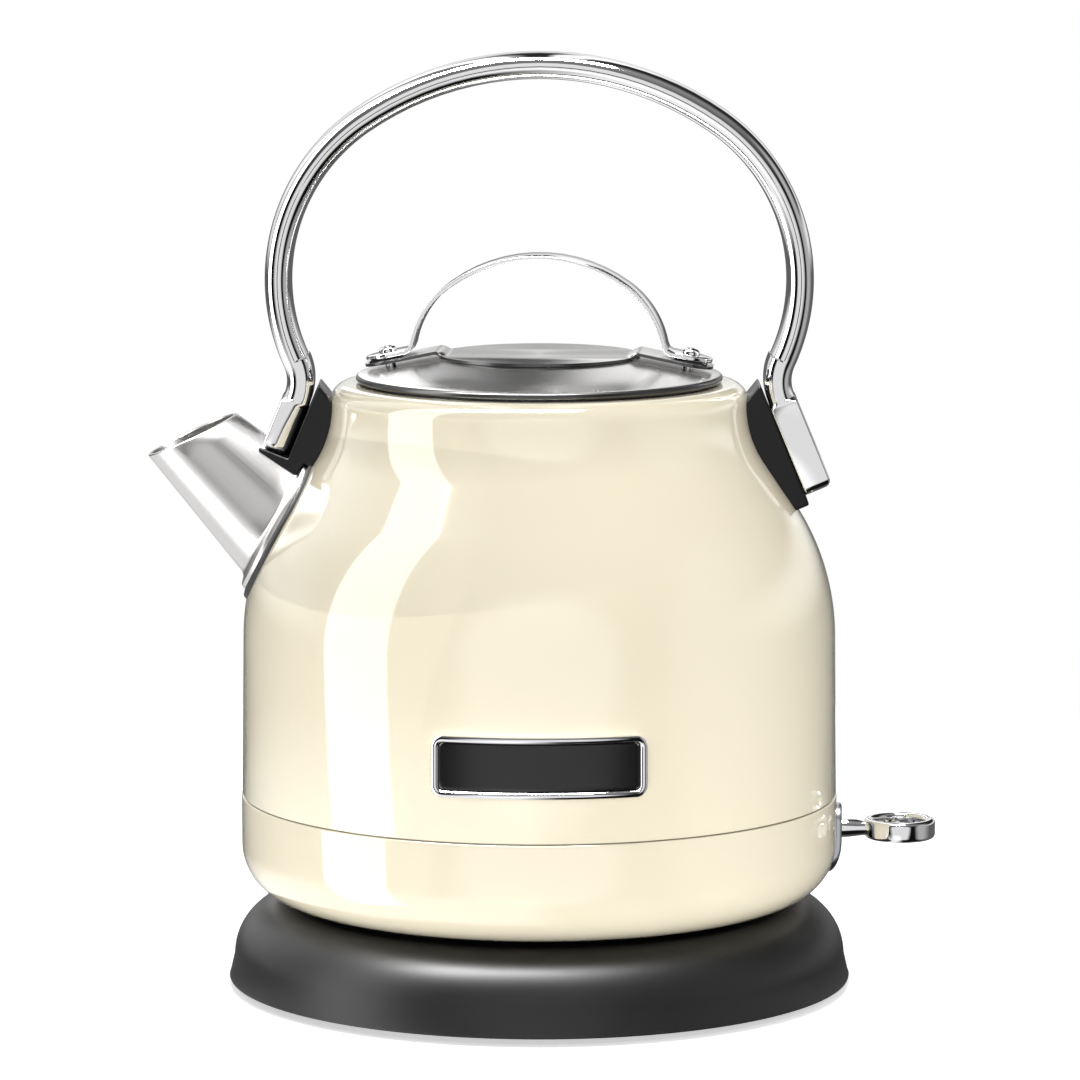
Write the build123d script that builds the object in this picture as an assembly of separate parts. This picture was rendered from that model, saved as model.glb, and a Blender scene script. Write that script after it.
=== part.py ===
from build123d import *
import math
import os

# A cordless electric kettle on a round power base, in millimetres.
# Z is up, the table is z = 0, the axis of the body is the Z axis.
# The spout points to -X, the switch lever to +X and the badge to -Y.

# ---------------------------------------------------------------- driving sizes
gap = 0.05                    # clearance between pieces that are fixed to each other
free = 0.3                    # clearance between pieces that move past each other

# power base
base_radius = 81.2
base_height = 22.0
base_wall = 2.2
base_edge_radius = 14.0       # shoulder of the skirt
base_draft = 1.4              # how much the skirt leans in up to the shoulder
foot_height = 2.0             # table to the rim of the skirt
foot_radius = 6.0
foot_circle = 64.0
foot_count = 4
foot_recess = 1.0
plate_thickness = 2.2
base_screw_circle = 52.0
screw_count = 3
ring_in, ring_out = 24.0, 29.0     # groove of the glide ring
ring_depth = 3.4
well_radius = 32.0            # shallow drip well round the connector
well_depth = 1.2

# coaxial connector
post_radius = 15.0
post_top = 33.5
slot_depth = 11.0
pin_radius = 2.0
inner_contact = 5.0           # mean radius of the inner ring contact
outer_contact = 10.5          # mean radius of the outer ring contact
contact_wall = 1.0
slot_width = 2.4

# cord outlet
cord_hole_radius = 3.7
bush_radius = 5.2
bush_inset = 8.5              # wall's inner face to the bush's inner end
bush_proud = 0.8
bush_height = 9.6

# kettle body
stand_gap = 1.5               # base top to the bottom of the kettle
body_radius = 77.7
seam_height = 50.5
seam_gap = 0.25
seam_step = 0.2                 # the housing stands this proud of the body
body_wall = 1.0
wall_taper = 0.5              # the wall leans in by this much up to the shoulder
shoulder_start = 91.5
shoulder_radius = 62.0
neck_blend_radius = 27.0
neck_radius = 54.2
neck_straight = 0.4
rim_radius = 4.8
neck_top = 157.8
lid_radius = 47.5
mouth_radius = lid_radius - 1.5
collar_depth = 9.0
housing_wall = 2.2
housing_corner = 14.0
cover_thickness = 1.9
cover_ledge = 6.0

# heater
floor_thickness = 0.9
floor_rim = 8.0
floor_lift = 1.7              # seam to the underside of the vessel floor
diffuser_thickness = 2.6
element_inset = 30.7          # vessel wall to the middle of the element's ring
element_tube = 3.3
element_gap_angle = 27.0      # half of the opening in the element ring

# control
control_radius = 19.4
control_recess = 15.7
wing_half_width = 12.0
wing_height = 8.0
bimetal_radius = 9.5
bimetal_thickness = 0.5
bimetal_spread = 15.0
steam_angle = 32.0            # where the steam tube stands, round from the lever
steam_tube_radius = 3.5
steam_tube_wall = 0.5
steam_tube_top = neck_top - 33.8
steam_cup_radius = 8.5

# switch lever
lever_height = 40.5
lever_pivot_inset = 20.0      # housing wall to the pivot
lever_travel = 12.0           # degrees, pressed down
lever_ring_radius = 9.3
lever_ring_hole = 6.7
lever_ring_height = 5.2
lever_reach = 25.9            # housing wall to the end of the ring
stem_root, stem_tip = 2.65, 2.0
lever_arm = 7.5               # pivot to the tip of the inner arm
lever_half_width = 2.9
pivot_pin_radius = 1.5
plate_top, plate_low = 47.0, 29.0
plate_half_width = 5.6
plate_proud = 1.4
trip_inset = 11.7             # lever pivot to the trip's pivot, past the inner arm
trip_overlap = 1.6
trip_pin_radius = 1.2

# spout
spout_angle = 43.85           # axis above the horizontal
spout_tip_x, spout_tip_z = -90.7, 144.05
spout_tip_radius = 11.8
spout_half_angle = 7.55
spout_rim_tilt = 24.95        # slope of the pouring edge
spout_wall = 0.9
spout_flange = 2.4
flange_thickness = 1.0
gasket_thickness = 0.8
gasket_margin = 1.4
filter_tube_radius = 12.6
filter_flange = 3.2
filter_hole_radius = 0.8
filter_hole_pitch = 2.4

# handle
handle_half_span = 67.4       # centreline, at its widest
handle_rise = 55.4            # widest point up to the top
handle_centre_z = neck_top + 26.6
handle_side_radius = 50.0
handle_thickness = 7.15
handle_width = 18.0
handle_end_angle = 24.5       # where the bend at each foot starts
bend_radius = 12.5
shoe_angle = 22.5             # the shoes lean out from the vertical
shoe_thickness = 7.4
shoe_width = 19.0
front_shoe_length = 14.3
rear_shoe_length = 25.0
mount_width = 18.6
mount_overlap = 2.6           # the rear mount reaches past its shoe
mount_foot = 7.2              # the front mount wraps under its shoe
front_screws = (5.2,)         # down the front shoe
rear_screws = (7.0, 18.5)     # down the rear shoe
screw_radius = 2.0
screw_head_radius = 3.6
screw_head_height = 2.2

# badge
badge_width = 54.5            # along the curved wall
badge_height = 15.6
badge_centre = 69.9
badge_border = 1.9
badge_proud = 1.5
badge_plate_proud = 0.9
badge_corner = 3.0

# lid
lid_seat_gap = 0.3
lid_edge = 1.0                # radius of the rolled rim
disc_radius = lid_radius - 21.5
disc_height = neck_top + 6.6
lid_wall = 0.8
plug_depth = 8.5
plug_wall = 0.6
seal_thickness = 3.2
lid_turn = -4.5               # how the lid happens to be put on
ear_width = 17.0
ear_reach = lid_radius - 2.5
ear_step = 3.0                # how far in from the disc's edge the ears step up
ear_thickness = 1.2
pad_width = 11.0
strap_half_span = lid_radius - 14.4
strap_rise = 27.3
strap_centre_z = neck_top + 5.4
strap_side_radius = strap_half_span - 8.6
strap_thickness = 1.1
strap_width = 12.5
strap_screw_x = lid_radius - 8.9
strap_screw_length = 4.6
strap_foot_end = 5.6          # screw to the rounded end of the foot
strap_stack = 2.6             # lid bevel to the underside of the strap's feet
strap_screw_radius = 1.4
strap_head_radius = 2.3

# ---------------------------------------------------------------- derived places
kettle_bottom = base_height + stand_gap
cover_top = kettle_bottom + cover_thickness
vessel_floor = seam_height + floor_lift
shell_low = seam_height + seam_gap / 2
housing_top = seam_height - seam_gap / 2
diffuser_low = vessel_floor - gap - diffuser_thickness
element_z = diffuser_low - gap - element_tube
plate_low_z = foot_height
plate_high_z = foot_height + plate_thickness
ledge_top = cover_top + 2.0
shell_radius = body_radius - seam_step
vessel_radius = shell_radius - body_wall
element_ring = vessel_radius - element_inset
steam_circle = element_ring + element_tube + steam_tube_radius + 3.8
diffuser_radius = steam_circle - steam_tube_radius - 1.2
steam_x = steam_circle * math.cos(math.radians(steam_angle))
steam_y = steam_circle * math.sin(math.radians(steam_angle))
steam_cup_top = element_z - 8.0
lever_pivot_x = body_radius - lever_pivot_inset
ring_centre_x = body_radius + lever_reach - lever_ring_radius
trip_x = lever_pivot_x - lever_arm - trip_inset
trip_z = lever_height - 3.6
wing_low = trip_z - 3.2
wing_high = wing_low + wing_height
strip_top = wing_high + gap + 0.8
control_top = post_top + 1.0 + 2.0


# ---------------------------------------------------------------- shared helpers
def disc(radius, low, high):
    return Pos(0, 0, (low + high) / 2) * Cylinder(radius, high - low)


def ring(outer, inner, low, high):
    return disc(outer, low, high) - disc(inner, low - 1, high + 1)


def block(x0, x1, y0, y1, z0, z1):
    centre = ((x0 + x1) / 2, (y0 + y1) / 2, (z0 + z1) / 2)
    return Pos(*centre) * Box(x1 - x0, y1 - y0, z1 - z0)


def spin(edges):
    """Revolves a closed outline, drawn as radius and height, about the Z axis."""
    return revolve(Plane.XZ * make_face(edges), Axis.Z)


def slab(edges, width):
    """Extrudes a closed outline, drawn as x and z, to a width centred on y = 0."""
    return extrude(Plane.XZ * make_face(edges), width / 2, both=True)


def at_angle(centre, radius, degrees):
    a = math.radians(degrees)
    return (centre[0] + radius * math.cos(a), centre[1] + radius * math.sin(a))


def arc(centre, radius, start, end):
    """An arc from one angle to another, in degrees, either way round."""
    middle = (start + end) / 2
    return ThreePointArc(*(at_angle(centre, radius, a) for a in (start, middle, end)))


def rod(start, end, radius):
    """A round bar between two points."""
    start, end = Vector(*start), Vector(*end)
    way = end - start
    return Plane(origin=(start + end) / 2, z_dir=way) * Cylinder(radius, way.length)


def lying_rod(x, z, radius, half_length):
    """A round bar along Y."""
    return rod((x, -half_length, z), (x, half_length, z), radius)


def around(count, radius, first=0.0):
    """Evenly spaced places on a circle."""
    for i in range(count):
        yield at_angle((0, 0), radius, first + 360 * i / count)


def group(shapes):
    return Compound(children=list(shapes))


# ---------------------------------------------------------------- body outline
class Shoulder:
    """Wall, shoulder and neck of the body: two arcs joined by their common tangent."""

    taper = wall_taper / (shoulder_start - seam_height)
    drop = shell_radius - wall_taper - neck_radius
    rise = neck_top - rim_radius - neck_straight - shoulder_start
    widest = (drop**2 + rise**2) / (2 * drop)
    share = min(1.0, 0.995 * widest / (shoulder_radius + neck_blend_radius))
    convex = shoulder_radius * share
    concave = neck_blend_radius * share
    low = (shell_radius - wall_taper - convex, shoulder_start)
    high = (neck_radius + concave, shoulder_start + rise)
    across, up = high[0] - low[0], high[1] - low[1]
    lean = math.degrees(
        math.atan2(up, across) - math.acos((convex + concave) / math.hypot(across, up))
    )
    rim = (neck_radius - rim_radius, neck_top - rim_radius)


def body_radius_at(z, inset=0.0):
    """Radius of the outline at a height between the seam and the top of the neck."""
    s = Shoulder
    slope = math.radians(s.lean)
    if z <= s.low[1]:
        return shell_radius - s.taper * (z - seam_height) - inset
    convex, concave = s.convex - inset, s.concave + inset
    if z <= s.low[1] + convex * math.sin(slope):
        return s.low[0] + math.sqrt(convex**2 - (z - s.low[1]) ** 2)
    if z <= s.high[1] - concave * math.sin(slope):
        start = at_angle(s.low, convex, s.lean)
        return start[0] - (z - start[1]) * math.tan(slope)
    if z <= s.high[1]:
        return s.high[0] - math.sqrt(concave**2 - (s.high[1] - z) ** 2)
    return neck_radius - inset


def filled_body(inset, low):
    """The solid inside the body outline, inset by a distance, down to a height."""
    s = Shoulder
    convex, concave = s.convex - inset, s.concave + inset
    foot = (shell_radius - inset + s.taper * (seam_height - low), low)
    wall_top = at_angle(s.low, convex, 0)
    slope_low = at_angle(s.low, convex, s.lean)
    slope_high = at_angle(s.high, concave, 180 + s.lean)
    neck_low = at_angle(s.high, concave, 180)
    corner = rim_radius - inset
    neck_high = at_angle(s.rim, corner, 0)
    rim_top = at_angle(s.rim, corner, 90)
    return spin(
        [
            Line((0, low), foot),
            Line(foot, wall_top),
            arc(s.low, convex, 0, s.lean),
            Line(slope_low, slope_high),
            arc(s.high, concave, 180 + s.lean, 180),
            Line(neck_low, neck_high),
            arc(s.rim, corner, 0, 90),
            Line(rim_top, (0, rim_top[1])),
            Line((0, rim_top[1]), (0, low)),
        ]
    )


def filled_housing(inset, low, top):
    """The solid inside the lower housing's outline, inset by a distance."""
    corner = housing_corner - inset
    centre = (body_radius - housing_corner, kettle_bottom + housing_corner)
    bottom = max(low, kettle_bottom + inset)
    side, under = at_angle(centre, corner, 0), at_angle(centre, corner, -90)
    return spin(
        [
            Line((0, bottom), (under[0], bottom)),
            arc(centre, corner, -90, 0),
            Line(side, (side[0], top)),
            Line((side[0], top), (0, top)),
            Line((0, top), (0, bottom)),
        ]
    )


def skin(inner_offset, outer_offset, low):
    """A layer that follows the outside of the body between two distances from it."""
    return filled_body(-outer_offset, low) - filled_body(-inner_offset, low)


# ---------------------------------------------------------------- spout frame
spout_out = (-math.cos(math.radians(spout_angle)), math.sin(math.radians(spout_angle)))


def on_spout(distance):
    """The point on the spout's axis at a distance in from the rim's centre."""
    return (
        spout_tip_x - spout_out[0] * distance,
        0,
        spout_tip_z - spout_out[1] * distance,
    )


def spout_cone(offset, start, end):
    """A cone along the spout, offset outwards, between two distances in from the rim."""
    slope = math.tan(math.radians(spout_half_angle))
    radii = [spout_tip_radius + offset + slope * s for s in (end, start)]
    way = Vector(spout_out[0], 0, spout_out[1])
    middle = Plane(origin=on_spout((start + end) / 2), z_dir=way)
    return middle * Cone(radii[0], radii[1], end - start)


def spout_tube(radius, start, end):
    return rod(on_spout(start), on_spout(end), radius)


# ---------------------------------------------------------------- power base
def skirt_radius_at(z):
    """Radius of the skirt below its shoulder."""
    rise = base_height - base_edge_radius - foot_height
    return base_radius - base_draft * (z - foot_height) / rise


def skirt_outline(inset, low):
    """Outline of the base shell, inset by a distance, down to a height."""
    corner = base_edge_radius - inset
    centre = (
        base_radius - base_draft - base_edge_radius,
        base_height - base_edge_radius,
    )
    top, side = at_angle(centre, corner, 90), at_angle(centre, corner, 0)
    foot = (skirt_radius_at(low) - inset, low)
    return [
        Line((0, low), foot),
        Line(foot, side),
        arc(centre, corner, 0, 90),
        Line(top, (0, top[1])),
        Line((0, top[1]), (0, low)),
    ]


def base_shell():
    top = base_height
    shell = spin(skirt_outline(0, foot_height)) - spin(skirt_outline(base_wall, 0))
    for x, y in around(screw_count, base_screw_circle, 30):
        shell += Pos(x, y, 0) * disc(4.0, plate_high_z + gap, top - base_wall / 2)
    shell += disc(well_radius + base_wall, top - ring_depth - base_wall, top - 1)
    shell += disc(post_radius + 4, plate_high_z + 3, top - 1)
    shell -= disc(well_radius, top - well_depth, top + 1)
    shell -= ring(ring_out + free, ring_in - free, top - ring_depth, top + 1)
    shell -= disc(post_radius + gap, 0, top + 1)
    for x, y in around(screw_count, base_screw_circle, 30):
        shell -= Pos(x, y, 0) * disc(1.6, 0, plate_high_z + 8)
    inner, outer = base_radius - 25, base_radius + 10
    outlet = rod((0, inner, bush_height), (0, outer, bush_height), bush_radius + gap)
    return shell - outlet


def base_plate():
    rim = skirt_radius_at(plate_high_z) - base_wall - 2 * gap
    plate = disc(rim, plate_low_z, plate_high_z)
    for x, y in around(foot_count, foot_circle, 45):
        plate -= Pos(x, y, 0) * disc(foot_radius + gap, 0, plate_low_z + foot_recess)
    for x, y in around(screw_count, base_screw_circle, 30):
        plate -= Pos(x, y, 0) * disc(1.9, 0, 10)
        plate -= Pos(x, y, 0) * disc(3.8, 0, plate_low_z + 1.2)
    for x, y in around(8, 36, 22.5):
        plate -= Pos(x, y, 0) * disc(1.5, 0, 10)
    return plate


def base_feet():
    feet = []
    for x, y in around(foot_count, foot_circle, 45):
        foot = Pos(x, y, 0) * disc(foot_radius, 0, plate_low_z + foot_recess - gap)
        feet.append(chamfer(foot.edges().group_by(Axis.Z)[0], 0.5))
    return group(feet)


def pan_screw(head_radius, head_height, radius, length):
    """A screw that points up: its head's underside is at z = 0."""
    head = Pos(0, 0, -head_height / 2) * Cylinder(head_radius, head_height)
    head = fillet(head.edges().group_by(Axis.Z)[0], head_height * 0.45)
    arm = head_radius * 1.1
    for turn in (0, 90):
        slot = Rot(0, 0, turn) * Box(arm, 0.6, 0.9)
        head -= Pos(0, 0, -head_height) * slot
    return head + Pos(0, 0, length / 2) * Cylinder(radius, length)


def base_screws():
    screws = []
    for x, y in around(screw_count, base_screw_circle, 30):
        screw = pan_screw(3.5, 1.1, 1.55, plate_thickness + 6)
        screws.append(Pos(x, y, plate_low_z + 1.2) * screw)
    return group(screws)


def base_connector():
    low = plate_high_z + gap
    post = disc(post_radius, low, post_top) + disc(post_radius + 3, low, low + 2)
    post = chamfer(post.edges().group_by(Axis.Z)[-1], 0.8)
    post -= disc(pin_radius + 0.6, post_top - slot_depth, post_top + 1)
    for radius in (inner_contact, outer_contact):
        half = slot_width / 2
        floor = post_top - slot_depth
        post -= ring(radius + half, radius - half, floor, post_top + 1)
    return post


def socket_contacts():
    floor = post_top - slot_depth
    blades = []
    for radius in (inner_contact, outer_contact):
        wall = radius - slot_width / 2 + gap
        tube = ring(wall + 0.4, wall, floor + gap, floor + 3)
        blades.append(tube & block(0, 20, -20, 20, 0, 60))
    blades.append(disc(1.2, floor + gap, floor + 1.0))
    return group(blades)


def glide_ring():
    low = base_height - ring_depth + gap
    top = base_height + stand_gap * 0.4
    glide = ring(ring_out, ring_in, low, top)
    return chamfer(glide.edges().group_by(Axis.Z)[-1], 0.5)


def cord_bush():
    """Round bush that lines the cord's way out at the back."""
    inner = base_radius - base_wall - bush_inset
    bush = rod((0, inner, bush_height), (0, base_radius + 5, bush_height), bush_radius)
    collar = rod((0, inner, bush_height), (0, inner + 1.5, bush_height), bush_radius + 1)
    bush += collar - block(-20, 20, 0, inner + 5, 0, plate_high_z + gap)
    bush -= spin(skirt_outline(-40, 0)) - spin(skirt_outline(-bush_proud, 0))
    return bush - rod((0, 50, bush_height), (0, 120, bush_height), cord_hole_radius)


# ---------------------------------------------------------------- kettle shell
def mount_screws_places():
    """Each handle screw as its shoe, its distance down the shoe and its side."""
    for side, places in ((-1, front_screws), (1, rear_screws)):
        for along in places:
            yield side, along


def shoe_point(side, along, out):
    """A point of the shoe: a distance down it, and a distance out of its middle."""
    a = math.radians(shoe_angle)
    x = shoe_start[0] + along * math.sin(a) + out * math.cos(a)
    z = shoe_start[1] - along * math.cos(a) + out * math.sin(a)
    return (side * x, 0, z)


def wall_distance(side, along, inset):
    """How far a handle screw runs in from the middle of the shoe to the body's skin."""
    near, far = 0.0, 40.0
    for _ in range(40):
        middle = (near + far) / 2
        x, _, z = shoe_point(side, along, -middle)
        if abs(x) > body_radius_at(z, inset):
            near = middle
        else:
            far = middle
    return near


def screw_bar(side, along, inner, outer, radius):
    return rod(
        shoe_point(side, along, -inner), shoe_point(side, along, outer), radius
    )


def screw_depth(side, along):
    """Where the seal washer under a handle screw's head ends, inside the vessel."""
    return wall_distance(side, along, body_wall) + 2.4


def body_shell():
    shell = filled_body(0, shell_low) - filled_body(body_wall, 0)
    shell -= disc(mouth_radius, neck_top - 20, neck_top + 5)
    lip = ring(mouth_radius + body_wall, mouth_radius, neck_top - collar_depth, neck_top)
    shell += lip
    shell = fillet(
        [e for e in shell.edges().filter_by(GeomType.CIRCLE)
         if abs(e.radius - mouth_radius) < 1e-3 and e.center().Z > neck_top - 0.1],
        body_wall * 0.7,
    )
    shell -= spout_cone(-spout_wall - 0.6, 10, 60) - disc(20, 0, 200)
    for side, along in mount_screws_places():
        shell -= screw_bar(side, along, 40, 0, screw_radius + 0.2)
    return shell


def lower_housing():
    lip_radius = vessel_radius - 0.2
    shell = filled_housing(0, kettle_bottom, housing_top)
    shell += disc(lip_radius, seam_height - 3, vessel_floor - 0.3)
    inner_top = vessel_floor + 5
    shell -= filled_housing(housing_wall + body_wall, cover_top, inner_top)
    opening = body_radius - housing_corner - 0.4
    shell -= disc(opening, kettle_bottom - 1, cover_top)
    shell += ring(opening + 3, opening - cover_ledge, cover_top, ledge_top)
    shell -= disc(opening - cover_ledge, 0, ledge_top + 5)
    for x, y in around(screw_count, opening - 3, 90):
        shell -= Pos(x, y, 0) * disc(1.6, kettle_bottom, cover_top + 5)
    half = stem_root + 0.6
    wall = (body_radius - 12, body_radius + 2)
    shell -= block(*wall, -half, half, plate_low + 2, lever_height + half)
    shell = fillet(
        [e for e in shell.edges().filter_by(GeomType.CIRCLE)
         if abs(e.radius - body_radius) < 1e-3 and e.center().Z > housing_top - 0.1],
        0.4,
    )
    return shell


def bottom_cover():
    rim = body_radius - housing_corner - 0.6
    cover = disc(rim, kettle_bottom, cover_top - gap)
    cover += ring(55, 52, base_height + gap, kettle_bottom + 0.5)
    glide_top = base_height + stand_gap * 0.4
    cover += ring(ring_out - 0.5, ring_in + 0.5, glide_top + gap, kettle_bottom + 0.5)
    cover -= disc(control_radius + 0.4, 0, 60)
    for x, y in around(screw_count, rim + 0.2 - 3, 90):
        cover -= Pos(x, y, 0) * disc(1.9, 0, 60)
        cover -= Pos(x, y, 0) * disc(3.2, 0, kettle_bottom + 1.0)
    for x, y in around(6, 40, 30):
        vent = Rot(0, 0, math.degrees(math.atan2(y, x))) * Box(2, 9, 10)
        cover -= Pos(x, y, kettle_bottom) * vent
    return cover


def cover_screws():
    rim = body_radius - housing_corner - 0.4
    screws = []
    for x, y in around(screw_count, rim - 3, 90):
        screw = pan_screw(3.0, 0.9, 1.55, cover_thickness + 1)
        screws.append(Pos(x, y, kettle_bottom + 1.0) * screw)
    return group(screws)


# ---------------------------------------------------------------- heater
def vessel_base():
    rim = vessel_radius - 0.1
    floor_top = vessel_floor + floor_thickness
    pan = disc(rim, vessel_floor, vessel_floor + floor_rim)
    pan -= disc(rim - floor_thickness, floor_top, vessel_floor + 20)
    pan &= filled_body(body_wall + gap, 0)
    return pan - Pos(steam_x, steam_y, 0) * disc(steam_tube_radius + 1, 0, 100)


def diffuser():
    return disc(diffuser_radius, diffuser_low, vessel_floor - gap)


def heating_element():
    start = element_gap_angle
    path = CenterArc((0, 0), element_ring, start, 360 - 2 * start)
    path = Pos(0, 0, element_z) * path
    section = Plane(origin=path @ 0, z_dir=path % 0) * Circle(element_tube)
    tube = sweep(section, path)
    for sign in (-1, 1):
        x, y = at_angle((0, 0), element_ring, sign * start)
        tail = Pos(x, y, 0) * disc(1.6, strip_top + gap, element_z)
        tube += tail + Pos(x, y, element_z) * Sphere(element_tube)
    return tube


def terminal_strips():
    """Brass strips from the control's wing to the element's cold tails."""
    strips = []
    tail = at_angle((0, 0), element_ring, element_gap_angle)
    low = wing_high + gap
    start_x = trip_x - 2
    for sign in (-1, 1):
        bar = block(start_x, tail[0] + 2.4, 0, 3.2, low, strip_top)
        root = block(start_x, start_x + 3.2, wing_half_width - 5, tail[1], low, strip_top)
        strip = Pos(0, tail[1] - 1.6, 0) * bar + root
        strips.append(strip if sign > 0 else mirror(strip, Plane.XZ))
    return group(strips)


# ---------------------------------------------------------------- control
def control_housing():
    low = kettle_bottom + 0.4
    body = disc(control_radius, low, control_top)
    body -= disc(control_recess, 0, post_top + 1.0)
    wing_end = trip_x + 3.4
    wing = block(control_radius - 5, wing_end, -wing_half_width, wing_half_width,
                 wing_low, wing_high)
    body += wing - disc(control_recess, 0, control_top - 1)
    for sign in (-1, 1):
        cup = Pos(-4, sign * bimetal_spread, 0)
        body += cup * disc(bimetal_radius + 1, control_top - 2, diffuser_low - 1.4)
        body -= cup * disc(bimetal_radius - 2, control_top, diffuser_low)
    notch = lever_half_width + free
    body -= block(trip_x - 4, wing_end + 1, -notch, notch, wing_low - 1, wing_high + 1)
    body -= lying_rod(trip_x, trip_z, trip_pin_radius + gap, notch + 3.2)
    return body


def connector_pins():
    """Centre pin and two ring contacts, which hang from the roof of the recess."""
    roof = post_top + 1.0
    tip = post_top - slot_depth + 3.6
    rings = [disc(pin_radius, tip, roof - gap)]
    for radius in (inner_contact, outer_contact):
        half = contact_wall / 2
        rings.append(ring(radius + half, radius - half, tip, roof - gap))
    return group(rings)


def bimetal_discs():
    discs = []
    for sign in (-1, 1):
        low = diffuser_low - 1.4 + gap
        plate = disc(bimetal_radius, low, low + bimetal_thickness)
        discs.append(Pos(-4, sign * bimetal_spread, 0) * plate)
    return group(discs)


def steam_tube():
    low = element_z - 2
    place = Pos(steam_x, steam_y, 0)
    outer = steam_tube_radius
    tube = place * ring(outer, outer - steam_tube_wall, low, steam_tube_top)
    inlet = block(steam_x - 8, steam_x, steam_y - 1.2, steam_y + 1.2,
                  steam_tube_top - 5, steam_tube_top + 1)
    return tube - inlet


def steam_grommet():
    place = Pos(steam_x, steam_y, 0)
    top = vessel_floor + floor_thickness
    bung = disc(steam_tube_radius + 0.9, vessel_floor - 1.5, top + gap)
    bung += disc(steam_tube_radius + 2.4, top + gap, top + 2.4)
    return place * (bung - disc(steam_tube_radius + gap, 0, 100))


def steam_switch():
    """Cup under the steam tube that holds the steam bimetal."""
    low = ledge_top + gap
    cup = ring(steam_cup_radius, steam_cup_radius - 2.0, low, steam_cup_top)
    return Pos(steam_x, steam_y, 0) * (cup + disc(steam_cup_radius, low, low + 1.2))


def steam_bimetal():
    low = steam_cup_top + gap
    disc_shape = disc(steam_cup_radius - 0.3, low, low + bimetal_thickness)
    return Pos(steam_x, steam_y, 0) * disc_shape


# ---------------------------------------------------------------- switch
def switch_lever():
    z = lever_height
    half = lever_ring_height / 2
    inner, outer = lever_ring_hole, lever_ring_radius
    section = Pos((inner + outer) / 2, 0) * RectangleRounded(
        outer - inner, lever_ring_height, min(outer - inner, 2 * half) * 0.42
    )
    loop = Pos(ring_centre_x, 0, z) * revolve(Plane.XZ * section, Axis.Z)
    root_x = body_radius - 3
    tip_x = ring_centre_x - inner - (outer - inner) / 2
    stem = Plane(origin=((root_x + tip_x) / 2, 0, z), z_dir=(1, 0, 0)) * Cone(
        stem_root, stem_tip, tip_x - root_x
    )
    shank = block(lever_pivot_x, root_x, -2.2, 2.2, z - 2, z + 2)
    boss = lying_rod(lever_pivot_x, z, 3.4, lever_half_width)
    tip = lever_pivot_x - lever_arm
    arm = block(tip, lever_pivot_x, -lever_half_width, lever_half_width, z - 1.2, z + 0.8)
    lever = loop + stem + shank + boss + arm
    return lever - lying_rod(lever_pivot_x, z, pivot_pin_radius + gap, 10)


def lever_pin():
    return lying_rod(lever_pivot_x, lever_height, pivot_pin_radius, 7.0)


def lever_bracket():
    """Two ears on a foot, standing on the housing's ledge."""
    x, z = lever_pivot_x, lever_height
    inner = lever_half_width + free
    low = ledge_top + gap
    foot = block(x - 4, x + 4, -inner - 3, inner + 3, low, low + 2)
    ears = block(x - 4, x + 4, -inner - 3, inner + 3, low + 1, z + 3.6)
    ears -= block(x - 5, x + 5, -inner, inner, low + 2, z + 5)
    return foot + ears - lying_rod(x, z, pivot_pin_radius + gap / 2, 20)


def lever_plate():
    """Slotted escutcheon that hugs the housing."""
    low = kettle_bottom + 1
    hug = filled_housing(-plate_proud, low - 5, seam_height) - filled_housing(
        -gap, low - 5, seam_height + 1
    )
    window = Plane.YZ * Pos(0, (plate_top + plate_low) / 2) * RectangleRounded(
        2 * plate_half_width, plate_top - plate_low, plate_half_width - 0.8
    )
    slot_low, slot_high = plate_low + 2, lever_height + stem_root + 0.6
    slot = Plane.YZ * Pos(0, (slot_low + slot_high) / 2) * RectangleRounded(
        2 * stem_root + 1.2, slot_high - slot_low, stem_root + 0.5
    )
    plate = hug & extrude(Pos(body_radius - 15, 0, 0) * window, 40)
    return plate - extrude(Pos(body_radius - 15, 0, 0) * slot, 40)


def trip_lever():
    """Rocker of the control, lifted by the inner arm of the switch lever."""
    tip_low = lever_height + 0.8 + 0.4
    tip_x = trip_x + trip_inset + trip_overlap
    half = lever_half_width
    rocker = slab(
        Polyline(
            (trip_x - 2.4, trip_z - 2.0),
            (trip_x + 2.4, trip_z - 2.0),
            (tip_x - 6, tip_low),
            (tip_x, tip_low),
            (tip_x, tip_low + 1.4),
            (tip_x - 6.6, tip_low + 1.4),
            (trip_x - 2.4, trip_z + 2.4),
            close=True,
        ),
        2 * half,
    )
    return rocker + lying_rod(trip_x, trip_z, trip_pin_radius, half + free + 3)


def trip_spring():
    """Bent leaf spring that presses the rocker back."""
    root = trip_x - 3.4
    strip = block(root - 6, root, -2, 2, wing_high + gap, wing_high + 0.35)
    return strip + block(root - 0.3, root, -2, 2, wing_high - 3, wing_high + 0.2)


# ---------------------------------------------------------------- spout and filter
def rim_cut():
    """Everything beyond the plane of the pouring edge."""
    tilt = math.radians(spout_rim_tilt)
    normal = (-math.sin(tilt), 0, math.cos(tilt))
    return Plane(origin=on_spout(0), z_dir=normal) * Pos(0, 0, 50) * Box(120, 120, 100)


def spout():
    inner_end = 80
    horn = spout_cone(0, -30, inner_end)
    horn += spout_cone(spout_flange, 0, inner_end) & skin(
        gasket_thickness + gap, gasket_thickness + gap + flange_thickness, 0
    )
    horn -= spout_cone(-spout_wall, -30, inner_end)
    horn -= filled_body(-gasket_thickness - gap, 0)
    return horn - rim_cut() - disc(20, 0, 300)


def spout_gasket():
    margin = spout_flange + gasket_margin
    seal = spout_cone(margin, 0, 60) & skin(gap, gasket_thickness, 0)
    return seal - spout_cone(-spout_wall, -5, 60) - disc(20, 0, 300)


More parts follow.
